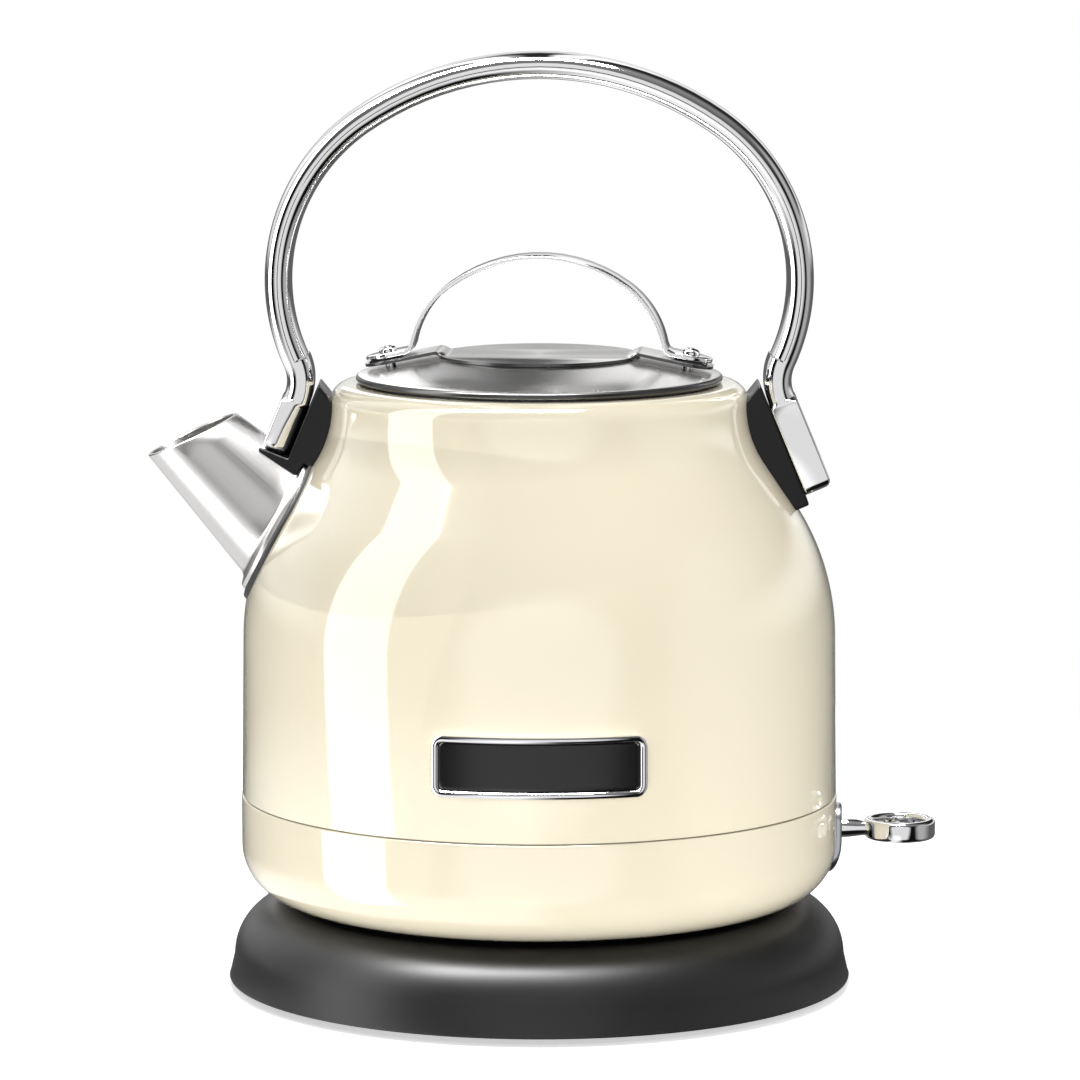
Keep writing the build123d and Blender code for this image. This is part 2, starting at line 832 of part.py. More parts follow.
def filter_frame():
    inner = body_wall + 0.4
    plate = filled_body(inner, 0) - filled_body(inner + 1.2, 0)
    plate &= spout_tube(filter_tube_radius + filter_flange, 20, 60)
    tube = spout_tube(filter_tube_radius, 29, 41)
    frame = plate + tube - spout_tube(filter_tube_radius - 1.0, 10, 70)
    return frame - disc(20, 0, 300)


def filter_mesh():
    """Perforated disc across the filter's tube."""
    radius = filter_tube_radius - 1.0 - gap
    place = Plane(origin=on_spout(33), z_dir=(spout_out[0], 0, spout_out[1]))
    holes = []
    rows = int(radius / filter_hole_pitch)
    for row in range(-rows, rows + 1):
        for column in range(-rows, rows + 1):
            x = (column + row / 2) * filter_hole_pitch
            y = row * filter_hole_pitch * math.sqrt(3) / 2
            if math.hypot(x, y) < radius - 1.6:
                holes.append(Pos(x, y, 0) * Cylinder(filter_hole_radius, 4))
    return place * (Cylinder(radius, 0.5) - holes)


# ---------------------------------------------------------------- handle
def arch_arcs(half_span, rise, side_radius, centre_z, end_angle, out=0.0):
    """A three-centred arch: the right side arc, the crown and the left side arc.

    The side arcs run end_angle past the horizontal, and out shifts the whole line
    outwards."""
    offset = half_span - side_radius
    crown = (offset**2 + rise**2 - side_radius**2) / (2 * (rise - side_radius))
    meet = math.degrees(math.atan2(crown - rise, offset))
    right, left = (offset, centre_z), (-offset, centre_z)
    return [
        arc(right, side_radius + out, -end_angle, meet),
        arc((0, centre_z + rise - crown), crown + out, meet, 180 - meet),
        arc(left, side_radius + out, 180 - meet, 180 + end_angle),
    ]


side_centre_x = handle_half_span - handle_side_radius
bend_start = at_angle(
    (side_centre_x, handle_centre_z), handle_side_radius, -handle_end_angle
)
bend_centre = at_angle(bend_start, bend_radius, -handle_end_angle)
shoe_start = at_angle(bend_centre, bend_radius, 180 + shoe_angle)


def handle_section(low, high, corner):
    """Half of the bar's section: across the bar, from one distance out to another."""
    half = handle_width / 2
    outline = Polyline((-half, low), (half, low), (half, high), (-half, high), close=True)
    face = make_face(outline)
    far = Axis.Y if abs(high) > abs(low) else Axis.Y.reverse()
    return fillet(face.vertices().group_by(far)[-1], corner)


def swept_along(edges, section):
    """Sweeps a section, drawn as width and distance outwards, along a path in XZ."""
    path = Plane.XZ * Wire(edges)
    start, way = path @ 0, path % 0
    outward = Vector(0, 1, 0).cross(way)
    frame = Plane(origin=start, x_dir=outward.cross(way), z_dir=way)
    return sweep(frame * section, path)


def handle_path(end_angle):
    return arch_arcs(
        handle_half_span, handle_rise, handle_side_radius, handle_centre_z, end_angle
    )


def bend_arc(side):
    """The bend from the side of the arch into a shoe."""
    edge = arc(bend_centre, bend_radius, 180 - handle_end_angle, 180 + shoe_angle)
    return edge if side > 0 else mirror(edge, Plane.YZ)


def handle_shoe(side, length):
    """Flat-sided shoe that stands on the mount."""
    half = shoe_thickness / 2
    corners = [(0, half), (length, half), (length, -half), (0, -half)]
    points = [shoe_point(side, along, out) for along, out in corners]
    flat = [(x, z) for x, _, z in points]
    shoe = slab(Polyline(*flat, close=True), shoe_width)
    ends = shoe.edges().filter_by(Axis.Y)
    low_ends = ends.sort_by(lambda e: e.center().Z)[:2]
    outer = low_ends.sort_by(lambda e: abs(e.center().X))[-1]
    return fillet(outer, 2.2)


def handle_outer():
    half = handle_thickness / 2
    section = handle_section(gap, half, 2.9)
    bar = swept_along(handle_path(handle_end_angle), section)
    for side, length in ((-1, front_shoe_length), (1, rear_shoe_length)):
        bend = bend_arc(side)
        knuckle = Plane.XZ * bend
        outline = make_face(
            Polyline(
                (-handle_width / 2, -half),
                (handle_width / 2, -half),
                (handle_width / 2, half),
                (-handle_width / 2, half),
                close=True,
            )
        )
        outward = Vector(side, 0, 0)
        way = knuckle % 0
        across = Vector(0, 1, 0)
        normal = way.cross(across)
        if normal.dot(outward) < 0:
            normal = -normal
        frame = Plane(origin=knuckle @ 0, x_dir=normal.cross(way), z_dir=way)
        bar += sweep(frame * outline, knuckle)
        bar += handle_shoe(side, length)
    for side, along in mount_screws_places():
        bar -= screw_bar(side, along, shoe_thickness, 1.6, screw_radius + gap)
    return bar - spout_cone(free, -10, 70)


def handle_inner():
    half = handle_thickness / 2
    section = handle_section(-half, -gap, 2.9)
    return swept_along(handle_path(handle_end_angle - 0.5), section)


def mount_block(side, top, low):
    """Block between the shoe and the body, between two distances down the shoe."""
    out = -shoe_thickness / 2 - gap
    corners = [(top, out), (low, out), (low, out - 26), (top, out - 26)]
    flat = [shoe_point(side, along, o)[::2] for along, o in corners]
    return slab(Polyline(*flat, close=True), mount_width)


def drill_for_screws(shape, side):
    for place, along in mount_screws_places():
        if place == side:
            shape -= screw_bar(side, along, 40, 0, screw_radius + 0.2)
    return shape


def rear_mount():
    block_shape = mount_block(1, -4.6, rear_shoe_length + mount_overlap)
    block_shape -= filled_body(-gap, 0)
    return drill_for_screws(keep_outside(block_shape), 1)


def keep_outside(shape):
    """Drops what lies inside the neck, within the mouth."""
    return shape - disc(neck_radius - 1, 0, 300)


def front_mount():
    length = front_shoe_length
    block_shape = mount_block(-1, -4.6, length + mount_foot)
    half = shoe_thickness / 2
    foot_corners = [
        (length + 0.3, half + 0.6),
        (length + mount_foot, half + 0.6),
        (length + mount_foot, -half - 0.5),
        (length + 0.3, -half - 0.5),
    ]
    flat = [shoe_point(-1, along, out)[::2] for along, out in foot_corners]
    foot = slab(Polyline(*flat, close=True), mount_width)
    low_edge = foot.edges().filter_by(Axis.Y).sort_by(Axis.X)[0]
    block_shape += fillet(low_edge, 2.0)
    block_shape -= filled_body(-gap, 0)
    reach = spout_flange + gasket_margin + 0.2
    collar = spout_cone(reach, 20, 70) & filled_body(-2.4, 0)
    block_shape -= collar
    block_shape -= spout_cone(0.25, -10, 70)
    return drill_for_screws(keep_outside(block_shape), -1)


def handle_screws():
    screws = []
    for side, along in mount_screws_places():
        depth = screw_depth(side, along)
        head = screw_bar(side, along, depth + screw_head_height, -depth, screw_head_radius)
        shank = screw_bar(side, along, depth, 1.2, screw_radius)
        socket = screw_bar(
            side, along, depth + screw_head_height + 1, -depth - 1.0, 1.3
        )
        screws.append(head + shank - socket)
    return group(screws)


def handle_seals():
    seals = []
    inside = filled_body(body_wall + gap, 0)
    for side, along in mount_screws_places():
        depth = screw_depth(side, along)
        washer = screw_bar(side, along, depth - gap, -depth + 8, screw_head_radius + 0.6)
        washer -= screw_bar(side, along, depth + 5, 5, screw_radius + gap)
        seals.append(washer & inside)
    return group(seals)


# ---------------------------------------------------------------- badge
def badge_window(margin, corner):
    """Rounded window through the front wall, as wide as its arc along the wall."""
    half_turn = badge_width / 2 / body_radius
    half = body_radius_at(badge_centre) * math.sin(half_turn) - margin
    height = badge_height - 2 * margin
    face = RectangleRounded(2 * half, height, corner)
    front = Plane.XZ * Pos(0, badge_centre) * face
    return extrude(front, body_radius + 20)


def badge_frame():
    frame = skin(gap, badge_proud, shell_low) & badge_window(0, badge_corner)
    corner = badge_corner - badge_border
    return frame - badge_window(badge_border, corner)


def badge_plate():
    margin = badge_border + gap
    plate = skin(gap, badge_plate_proud, shell_low)
    return plate & badge_window(margin, badge_corner - badge_border)


# ---------------------------------------------------------------- lid
lid_low = neck_top + lid_seat_gap
lid_rim_centre = (lid_radius - lid_edge, lid_low + lid_edge)
bevel_run = lid_rim_centre[0] - disc_radius
bevel_fall = disc_height - lid_rim_centre[1]
bevel_slope = math.atan2(bevel_fall, bevel_run) - math.asin(
    lid_edge / math.hypot(bevel_run, bevel_fall)
)


def bevel_height(x):
    return disc_height - (x - disc_radius) * math.tan(bevel_slope)


def filled_lid(offset, low):
    """The solid under the lid's bevel and disc, offset outwards."""
    shift = offset / math.cos(bevel_slope)
    rim = lid_radius + offset
    return spin(
        Polyline(
            (0, low),
            (rim, low),
            (rim, bevel_height(rim) + shift),
            (disc_radius, disc_height + shift),
            (0, disc_height + shift),
            close=True,
        )
    )


def above_bevel(x, distance):
    """A point over the bevel, on the XZ plane, at a distance measured square to it."""
    shift = (distance * math.sin(bevel_slope), distance * math.cos(bevel_slope))
    return (x + shift[0], bevel_height(x) + shift[1])


def bevel_bar(sign, radius, low, high):
    """A round bar square to the bevel, where the strap is screwed down."""
    start, end = above_bevel(strap_screw_x, low), above_bevel(strap_screw_x, high)
    return rod((sign * start[0], 0, start[1]), (sign * end[0], 0, end[1]), radius)


def lid_shell():
    """Bevelled cover with a rolled rim, open below and sunk on top for the disc."""
    sunk = disc_height - lid_wall - gap
    centre = lid_rim_centre
    rim_start = at_angle(centre, lid_edge, 90 - math.degrees(bevel_slope))
    disc_edge = disc_radius + gap
    under = lid_low + lid_wall
    outline = [
        Polyline((0, sunk), (disc_edge, sunk), (disc_edge, disc_height), rim_start),
        arc(centre, lid_edge, 90 - math.degrees(bevel_slope), -90),
        Polyline(
            (centre[0], lid_low),
            (centre[0], under),
            (disc_edge + 1, sunk - lid_wall),
            (0, sunk - lid_wall),
            (0, sunk),
        ),
    ]
    cover = spin(outline)
    for sign in (-1, 1):
        cover -= bevel_bar(sign, strap_screw_radius + gap, -8, 8)
    return cover


def ear_plan():
    """Plan of the two ears, with rounded ends."""
    return RectangleRounded(2 * ear_reach, ear_width, ear_width * 0.42)


def lid_top_plate():
    """Flat disc with two ears that step up and run down the bevel."""
    plate = disc(disc_radius, disc_height - lid_wall, disc_height)
    start = disc_radius - ear_step
    for sign in (-1, 1):
        far = above_bevel(ear_reach + 2, ear_thickness)
        profile = Polyline(
            (start, disc_height - 0.3),
            (start, disc_height),
            above_bevel(disc_radius, ear_thickness),
            far,
            (far[0], disc_height - 12),
            (start + 1, disc_height - 12),
            close=True,
        )
        ear = slab(profile, ear_width + 2)
        ear -= filled_lid(gap, disc_height - 30) - disc(disc_radius, 0, disc_height + 5)
        ear &= disc(ear_reach + 5, disc_height - lid_wall, 300) + ring(
            ear_reach + 5, disc_radius + gap, 0, 300
        )
        ear &= extrude(Pos(0, 0, 100) * ear_plan(), 100)
        plate += ear if sign > 0 else mirror(ear, Plane.YZ)
    for sign in (-1, 1):
        plate -= bevel_bar(sign, strap_screw_radius + gap, -8, 8)
    return plate


def foot_outline(low, high, start, end):
    """A slab over the bevel between two heights and two places along it."""
    corners = ((start, low), (end, low), (end, high), (start, high))
    return Polyline(*(above_bevel(x, out) for x, out in corners), close=True)


def lid_pads():
    """Spacers between the plate's ears and the strap's feet."""
    low, high = ear_thickness + gap, strap_stack - gap
    pads = []
    for sign in (-1, 1):
        start, end = strap_screw_x - 3.8, strap_screw_x + 4.6
        pad = slab(foot_outline(low, high, start, end), pad_width)
        short = [e for e in pad.edges() if e.length < 2 * (high - low)]
        pad = fillet(short, 3.0)
        pad = pad if sign > 0 else mirror(pad, Plane.YZ)
        pads.append(pad - bevel_bar(sign, strap_screw_radius + gap, -8, 8))
    return group(pads)


class Strap:
    """Where the strap's side arcs meet its feet, along the middle of the strip."""

    arch = (strap_half_span, strap_rise, strap_side_radius, strap_centre_z)
    lift = strap_stack + strap_thickness / 2
    centre = (strap_half_span - strap_side_radius, strap_centre_z)
    tilt = math.degrees(bevel_slope)
    height = (
        bevel_height(centre[0]) + lift / math.cos(bevel_slope) - centre[1]
    ) * math.cos(bevel_slope)
    bend_angle = math.degrees(math.asin(height / strap_side_radius)) - tilt
    bend = at_angle(centre, strap_side_radius, bend_angle)


def lid_strap():
    """Bent strip: an arch with two feet that lie along the bevel."""
    half = strap_thickness / 2
    ends = -Strap.bend_angle
    outer = arch_arcs(*Strap.arch, ends, half)
    inner = arch_arcs(*Strap.arch, ends, -half)
    closing = [
        Line(outer[0] @ 0, inner[0] @ 0),
        Line(outer[-1] @ 1, inner[-1] @ 1),
    ]
    strap = slab(outer + inner + closing, strap_width)
    for sign in (-1, 1):
        low, high = strap_stack, strap_stack + strap_thickness
        start, end = Strap.bend[0] - 0.9, strap_screw_x + strap_foot_end
        foot = slab(foot_outline(low, high, start, end), strap_width)
        far = foot.edges().filter_by(Plane.XZ).sort_by(Axis.X)
        foot = fillet(
            [e for e in far if e.length < 2 * strap_thickness and e.center().X > end - 1],
            strap_width * 0.4,
        )
        strap += foot if sign > 0 else mirror(foot, Plane.YZ)
    for sign in (-1, 1):
        strap -= bevel_bar(sign, strap_screw_radius + gap, -8, 8)
    return strap


def strap_screws():
    screws = []
    for sign in (-1, 1):
        start = above_bevel(strap_screw_x, strap_stack + strap_thickness + gap)
        way = Vector(sign * math.sin(bevel_slope), 0, math.cos(bevel_slope))
        screw = pan_screw(strap_head_radius, 1.5, strap_screw_radius, strap_screw_length)
        seat = Plane(origin=(sign * start[0], 0, start[1]), z_dir=-way)
        screws.append(seat * screw)
    return group(screws)


def plug_radius():
    return mouth_radius - free - seal_thickness


def lid_plug():
    """Stamped cup under the lid, with a flange inside the lid's rim."""
    outer = plug_radius()
    low = lid_low - plug_depth
    cup = disc(outer, low, lid_low + 0.6)
    cup = fillet(cup.edges().group_by(Axis.Z)[0], 2.0)
    hollow = disc(outer - plug_wall, low + plug_wall, lid_low + 5)
    cup -= fillet(hollow.edges().group_by(Axis.Z)[0], 1.4)
    rim = lid_radius - lid_edge - 0.3
    return cup + ring(rim, outer - plug_wall, lid_low + gap, lid_low + 0.6)


def lid_seal():
    inner = plug_radius() + gap
    low = lid_low - 6.0
    seal = ring(inner + seal_thickness - gap, inner, low, low + 4.2)
    for z in (low + 1.4, low + 2.8):
        groove = ring(mouth_radius + 5, inner + seal_thickness - 1.0, z - 0.3, z + 0.3)
        seal -= groove
    return seal


# ---------------------------------------------------------------- the assembly
FIXED = {
    "base_shell": base_shell,
    "base_plate": base_plate,
    "base_feet": base_feet,
    "base_screws": base_screws,
    "base_connector": base_connector,
    "socket_contacts": socket_contacts,
    "cord_bush": cord_bush,
    "glide_ring": glide_ring,
    "body_shell": body_shell,
    "lower_housing": lower_housing,
    "bottom_cover": bottom_cover,
    "cover_screws": cover_screws,
    "vessel_base": vessel_base,
    "heat_diffuser": diffuser,
    "heating_element": heating_element,
    "terminal_strips": terminal_strips,
    "control_housing": control_housing,
    "connector_pins": connector_pins,
    "bimetal_discs": bimetal_discs,
    "trip_lever": trip_lever,
    "trip_spring": trip_spring,
    "steam_tube": steam_tube,
    "steam_grommet": steam_grommet,
    "steam_switch": steam_switch,
    "steam_bimetal": steam_bimetal,
    "switch_lever": switch_lever,
    "lever_pin": lever_pin,
    "lever_bracket": lever_bracket,
    "lever_plate": lever_plate,
    "spout": spout,
    "spout_gasket": spout_gasket,
    "filter_frame": filter_frame,
    "filter_mesh": filter_mesh,
    "handle_outer": handle_outer,
    "handle_inner": handle_inner,
    "front_mount": front_mount,
    "rear_mount": rear_mount,
    "handle_screws": handle_screws,
    "handle_seals": handle_seals,
    "badge_frame": badge_frame,
    "badge_plate": badge_plate,
}
LID = {
    "lid_shell": lid_shell,
    "lid_top_plate": lid_top_plate,
    "lid_pads": lid_pads,
    "lid_strap": lid_strap,
    "lid_screws": strap_screws,
    "lid_plug": lid_plug,
    "lid_seal": lid_seal,
}

if __name__ == "__main__":
    os.makedirs("parts", exist_ok=True)
    for name, make in FIXED.items():
        export_step(make(), f"parts/{name}.step")
    for name, make in LID.items():
        turned = group(Rot(0, 0, lid_turn) * solid for solid in make().solids())
        export_step(turned, f"parts/{name}.step")
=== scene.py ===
import math

import bmesh
import bpy
from mathutils import Matrix, Vector


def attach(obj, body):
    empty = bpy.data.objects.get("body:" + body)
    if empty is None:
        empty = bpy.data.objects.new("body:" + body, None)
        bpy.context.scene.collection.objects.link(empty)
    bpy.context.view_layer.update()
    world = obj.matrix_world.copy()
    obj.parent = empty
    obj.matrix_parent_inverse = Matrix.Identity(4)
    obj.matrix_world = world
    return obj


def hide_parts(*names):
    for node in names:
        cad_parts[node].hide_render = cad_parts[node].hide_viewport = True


bl_info = {
    "name": "Domed Kettle Pieces",
    "version": (1, 0, 0),
    "blender": (4, 5, 0),
    "location": "View3D > Sidebar > Kettle",
    "description": "Models the visible pieces of an enamelled kettle round its frame",
    "category": "Add Mesh",
}

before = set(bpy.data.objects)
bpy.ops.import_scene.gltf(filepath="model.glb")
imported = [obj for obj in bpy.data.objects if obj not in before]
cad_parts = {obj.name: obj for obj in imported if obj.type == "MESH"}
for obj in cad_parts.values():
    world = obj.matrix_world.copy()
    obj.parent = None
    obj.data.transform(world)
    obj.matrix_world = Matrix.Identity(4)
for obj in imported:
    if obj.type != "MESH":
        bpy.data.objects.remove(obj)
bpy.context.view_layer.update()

# ------------------------------------------------------------------ places
# Millimetres, as the frame has them. MM turns them into metres.
MM = 0.001
GAP = 0.05                      # between pieces that are fixed to each other
BASE_HEIGHT = 22.0
BODY_RADIUS = 77.5              # enamelled body, just above the seam
HOUSING_RADIUS = 77.7
SEAM = 50.5
KETTLE_BOTTOM = 23.5
HOUSING_CORNER = 14.0
NECK_RADIUS = 54.2
NECK_TOP = 157.8
RIM_RADIUS = 4.8
MOUTH_RADIUS = 46.0
CONVEX = (15.0, 91.5, 62.0)     # shoulder: centre's radius and height, its radius
CONCAVE_RADIUS = 27.0
SPOUT_TIP = Vector((-90.7, 0, 144.05))
SPOUT_ANGLE = 43.85
SPOUT_RADIUS = 11.8
SPOUT_HALF_ANGLE = 7.55
SPOUT_TILT = 24.95
BAR_SIDE = (17.4, 184.4, 50.0)  # handle: centre and radius of its side arcs
BAR_RISE = 55.4
BAR_END = 24.5
BAR_HALF = 3.575
BEND_RADIUS = 12.5
SHOE_ANGLE = 22.5
LEVER_HEIGHT = 40.5
LEVER_PIVOT = 57.7
RING_X = 94.3
LID_LOW = 158.1
LID_RADIUS = 47.5
LID_TURN = -4.5
DISC_RADIUS = 26.0
DISC_TOP = 164.4
STRAP_SIDE = (8.6, 163.2, 24.5)
STRAP_RISE = 27.3
STRAP_STACK = 2.6
STRAP_THICKNESS = 1.1
STRAP_SCREW = 38.6


# ------------------------------------------------------------------ settings
def length(name, description, default):
    return bpy.props.FloatProperty(
        name=name, description=description, default=default, min=0.0, unit="LENGTH"
    )


def colour(name, description, default):
    return bpy.props.FloatVectorProperty(
        name=name, description=description, default=default,
        size=3, min=0.0, max=1.0, subtype="COLOR",
    )


def share(name, description, default):
    return bpy.props.FloatProperty(
        name=name, description=description, default=default,
        min=0.0, max=1.0, subtype="FACTOR",
    )


class KettleShapes(bpy.types.PropertyGroup):
    steps: bpy.props.IntProperty(
        name="Steps", description="Divisions round each turned piece",
        default=160, min=24,
    )
    fine_edge: length("Fine edge", "Rounding of the metal pieces' edges", 0.25 * MM)
    moulded_edge: length("Moulded edge", "Rounding of the moulded pieces", 0.6 * MM)
    joggle: length("Joggle", "Length of the step up to the lid plate's ears", 3.6 * MM)
    bevel_crown: length("Bevel crown", "Bulge of the lid's bevel", 0.3 * MM)
    bar_crown: length("Bar crown", "Bulge across the handle's bar", 0.35 * MM)
    spout_fillet: length("Spout fillet", "Blend from the spout to its flange", 0.9 * MM)


class KettleFinishes(bpy.types.PropertyGroup):
    enamel: colour("Enamel", "Body and housing", (0.90, 0.825, 0.635))
    base: colour("Base", "Moulded power base", (0.013, 0.013, 0.0134))
    black: colour("Black", "Handle mounts and pads", (0.006, 0.006, 0.0065))
    steel: colour("Steel", "Brushed lid and spout", (0.62, 0.61, 0.60))
    chrome: colour("Chrome", "Handle, strap, badge frame and lever", (0.88, 0.88, 0.89))
    enamel_roughness: share("Enamel roughness", "Softness of its gloss", 0.08)
    base_roughness: share("Base roughness", "Softness of the base's sheen", 0.40)
    brushing: share("Brushing", "Depth of the brush lines", 0.35)


# ------------------------------------------------------------------ outlines
def polar(centre, radius, degrees):
    a = math.radians(degrees)
    return (centre[0] + radius * math.cos(a), centre[1] + radius * math.sin(a))


def arc(centre, radius, start, end, steps):
    turn = (end - start) / steps
    return [polar(centre, radius, start + turn * i) for i in range(steps + 1)]


def rounded(corners, steps=4):
    """A closed outline whose corners (x, z, radius) are rounded."""
    path = []
    for i, (x, z, radius) in enumerate(corners):
        here = Vector((x, z))
        if not radius:
            path.append((x, z))
            continue
        before = (Vector(corners[i - 1][:2]) - here).normalized()
        after = (Vector(corners[(i + 1) % len(corners)][:2]) - here).normalized()
        half = before.angle(after) / 2
        middle = here + (before + after).normalized() * (radius / math.sin(half))
        start = here + before * (radius / math.tan(half)) - middle
        end = here + after * (radius / math.tan(half)) - middle
        turn = start.angle_signed(end)
        for k in range(steps + 1):
            a = math.atan2(start.y, start.x) - turn * k / steps
            path.append((middle.x + radius * math.cos(a), middle.y + radius * math.sin(a)))
    return path


def shoulder_lean():
    across = NECK_RADIUS + CONCAVE_RADIUS - CONVEX[0]
    up = NECK_TOP - RIM_RADIUS - 0.4 - CONVEX[1]
    lean = math.atan2(up, across) - math.acos(
        min(1.0, (CONVEX[2] + CONCAVE_RADIUS) / math.hypot(across, up))
    )
    return math.degrees(lean)


def body_radius_at(z, inset=0.0):
    """Radius of the enamelled outline at a height, from the seam to the neck."""
    lean = math.radians(shoulder_lean())
    high = (NECK_RADIUS + CONCAVE_RADIUS, NECK_TOP - RIM_RADIUS - 0.4)
    convex, concave = CONVEX[2] - inset, CONCAVE_RADIUS + inset
    if z <= CONVEX[1]:
        return BODY_RADIUS - 0.5 * (z - SEAM) / (CONVEX[1] - SEAM) - inset
    if z <= CONVEX[1] + convex * math.sin(lean):
        return CONVEX[0] + math.sqrt(convex**2 - (z - CONVEX[1]) ** 2)
    if z <= high[1] - concave * math.sin(lean):
        start = polar(CONVEX[:2], convex, math.degrees(lean))
        return start[0] - (z - start[1]) * math.tan(lean)
    if z <= high[1]:
        return high[0] - math.sqrt(concave**2 - (high[1] - z) ** 2)
    return NECK_RADIUS - inset


def housing_radius_at(z, inset=0.0):
    corner = HOUSING_CORNER - inset
    low = KETTLE_BOTTOM + HOUSING_CORNER - z
    if low <= 0:
        return HOUSING_RADIUS - inset
    return HOUSING_RADIUS - HOUSING_CORNER + math.sqrt(max(0.0, corner**2 - low**2))


def body_outline(inset, low):
    """The body's profile from a height up to the top of its rolled rim."""
    lean = shoulder_lean()
    high = (NECK_RADIUS + CONCAVE_RADIUS, NECK_TOP - RIM_RADIUS - 0.4)
    rim = (NECK_RADIUS - RIM_RADIUS, NECK_TOP - RIM_RADIUS)
    path = [(body_radius_at(low, inset), low)]
    path += arc(CONVEX[:2], CONVEX[2] - inset, 0, lean, 30)
    path += arc(high, CONCAVE_RADIUS + inset, 180 + lean, 180, 14)
    return path + arc(rim, RIM_RADIUS - inset, 0, 90, 8)


def wall_point(u, z, proud, facing, radius_at):
    """A point on the round wall: across it, up it, and out of it."""
    radius = radius_at(z) + proud
    a = facing + u / BODY_RADIUS
    return Vector((radius * math.cos(a), radius * math.sin(a), z)) * MM


def window_outline(half, low, high, corner, arc_steps, across, up):
    """A rounded window that has the same number of points at every size."""
    wide, tall = half - corner, high - low - 2 * corner
    sides = (
        (wide, high - corner, 0, (-2 * wide, 0), across),
        (-wide, high - corner, 90, (0, -tall), up),
        (-wide, low + corner, 180, (2 * wide, 0), across),
        (wide, low + corner, 270, (0, tall), up),
    )
    path = []
    for u, z, start, (run_u, run_z), parts in sides:
        path += arc((u, z), corner, start, start + 90, arc_steps)
        end_u, end_z = path[-1]
        for i in range(1, parts):
            path.append((end_u + run_u * i / parts, end_z + run_z * i / parts))
    return path


# ------------------------------------------------------------------ modelling
def deselect():
    if bpy.context.mode != "OBJECT":
        bpy.ops.object.mode_set(mode="OBJECT")
    bpy.ops.object.select_all(action="DESELECT")


def activate(piece):
    deselect()
    piece.select_set(True)
    bpy.context.view_layer.objects.active = piece


def first_point(name, place):
    """Starts a piece as one vertex, and leaves it in edit mode."""
    deselect()
    bpy.ops.mesh.primitive_plane_add(size=MM, location=place)
    piece = bpy.context.object
    piece.name = piece.data.name = name
    bpy.ops.object.transform_apply(location=True, rotation=False, scale=False)
    bpy.ops.object.mode_set(mode="EDIT")
    bpy.ops.mesh.select_mode(type="VERT")
    bpy.ops.mesh.select_all(action="SELECT")
    bpy.ops.mesh.merge(type="CENTER")
    return piece


def draw_on(points):
    for start, end in zip(points, points[1:]):
        bpy.ops.mesh.extrude_region_move(TRANSFORM_OT_translate={"value": end - start})


def merge_and_orient():
    bpy.ops.mesh.select_all(action="SELECT")
    bpy.ops.mesh.remove_doubles(threshold=0.002 * MM)
    bpy.ops.mesh.normals_make_consistent(inside=False)


def lathe(name, outline, steps, closed=True):
    """Turns an outline of radii and heights about the upright axis."""
    points = [Vector((r, 0, z)) * MM for r, z in outline]
    if closed:
        points.append(points[0])
    piece = first_point(name, points[0])
    draw_on(points)
    bpy.ops.mesh.select_all(action="SELECT")
    bpy.ops.mesh.remove_doubles(threshold=0.002 * MM)
    bpy.ops.mesh.spin(steps=steps, angle=math.tau, center=(0, 0, 0), axis=(0, 0, 1))
    merge_and_orient()
    bpy.ops.object.mode_set(mode="OBJECT")
    return piece


def loft(name, rings, looped=False):
    """Skins a row of rings: each is extruded from the last and put in its place."""
    piece = first_point(name, rings[0][0])
    draw_on(rings[0] + [rings[0][0]])
    bpy.ops.mesh.select_all(action="SELECT")
    bpy.ops.mesh.remove_doubles(threshold=0.002 * MM)
    row = rings + [rings[0]] if looped else rings
    for last, ring in zip(row, row[1:]):
        bpy.ops.mesh.extrude_region_move()
        mesh = bmesh.from_edit_mesh(piece.data)
        for vertex in [v for v in mesh.verts if v.select]:
            nearest = min(range(len(last)), key=lambda i: (last[i] - vertex.co).length_squared)
            vertex.co = ring[nearest]
        bmesh.update_edit_mesh(piece.data)
    if not looped:
        bpy.ops.mesh.select_mode(type="EDGE")
        bpy.ops.mesh.select_all(action="DESELECT")
        bpy.ops.mesh.select_non_manifold(
            extend=False, use_wire=False, use_multi_face=False,
            use_non_contiguous=False, use_verts=False,
        )
        bpy.ops.mesh.fill_holes(sides=0)
    merge_and_orient()
    bpy.ops.object.mode_set(mode="OBJECT")
    return piece


def prism(name, outline, low, high):
    """Extrudes a closed outline of x and z across the kettle."""
    points = [Vector((x, low, z)) * MM for x, z in outline]
    piece = first_point(name, points[0])
    draw_on(points)
    bpy.ops.mesh.select_all(action="SELECT")
    bpy.ops.mesh.edge_face_add()
    across = Vector((0, high - low, 0)) * MM
    bpy.ops.mesh.extrude_region_move(TRANSFORM_OT_translate={"value": across})
    merge_and_orient()
    bpy.ops.object.mode_set(mode="OBJECT")
    return piece


def modify(piece, kind, **settings):
    activate(piece)
    bpy.ops.object.modifier_add(type=kind)
    modifier = piece.modifiers[-1]
    for name, value in settings.items():
        setattr(modifier, name, value)
    bpy.ops.object.modifier_apply(modifier=modifier.name)


def combine(piece, tool, operation):
    modify(piece, "BOOLEAN", object=tool, operation=operation, solver="EXACT")
    bpy.data.objects.remove(tool)


def round_edges(piece, width, segments=3, angle=30):
    modify(
        piece, "BEVEL", width=width, segments=segments, limit_method="ANGLE",
        angle_limit=math.radians(angle), use_clamp_overlap=True,
    )


def turn_mesh(piece, matrix):
    piece.data.transform(matrix)
    piece.data.update()


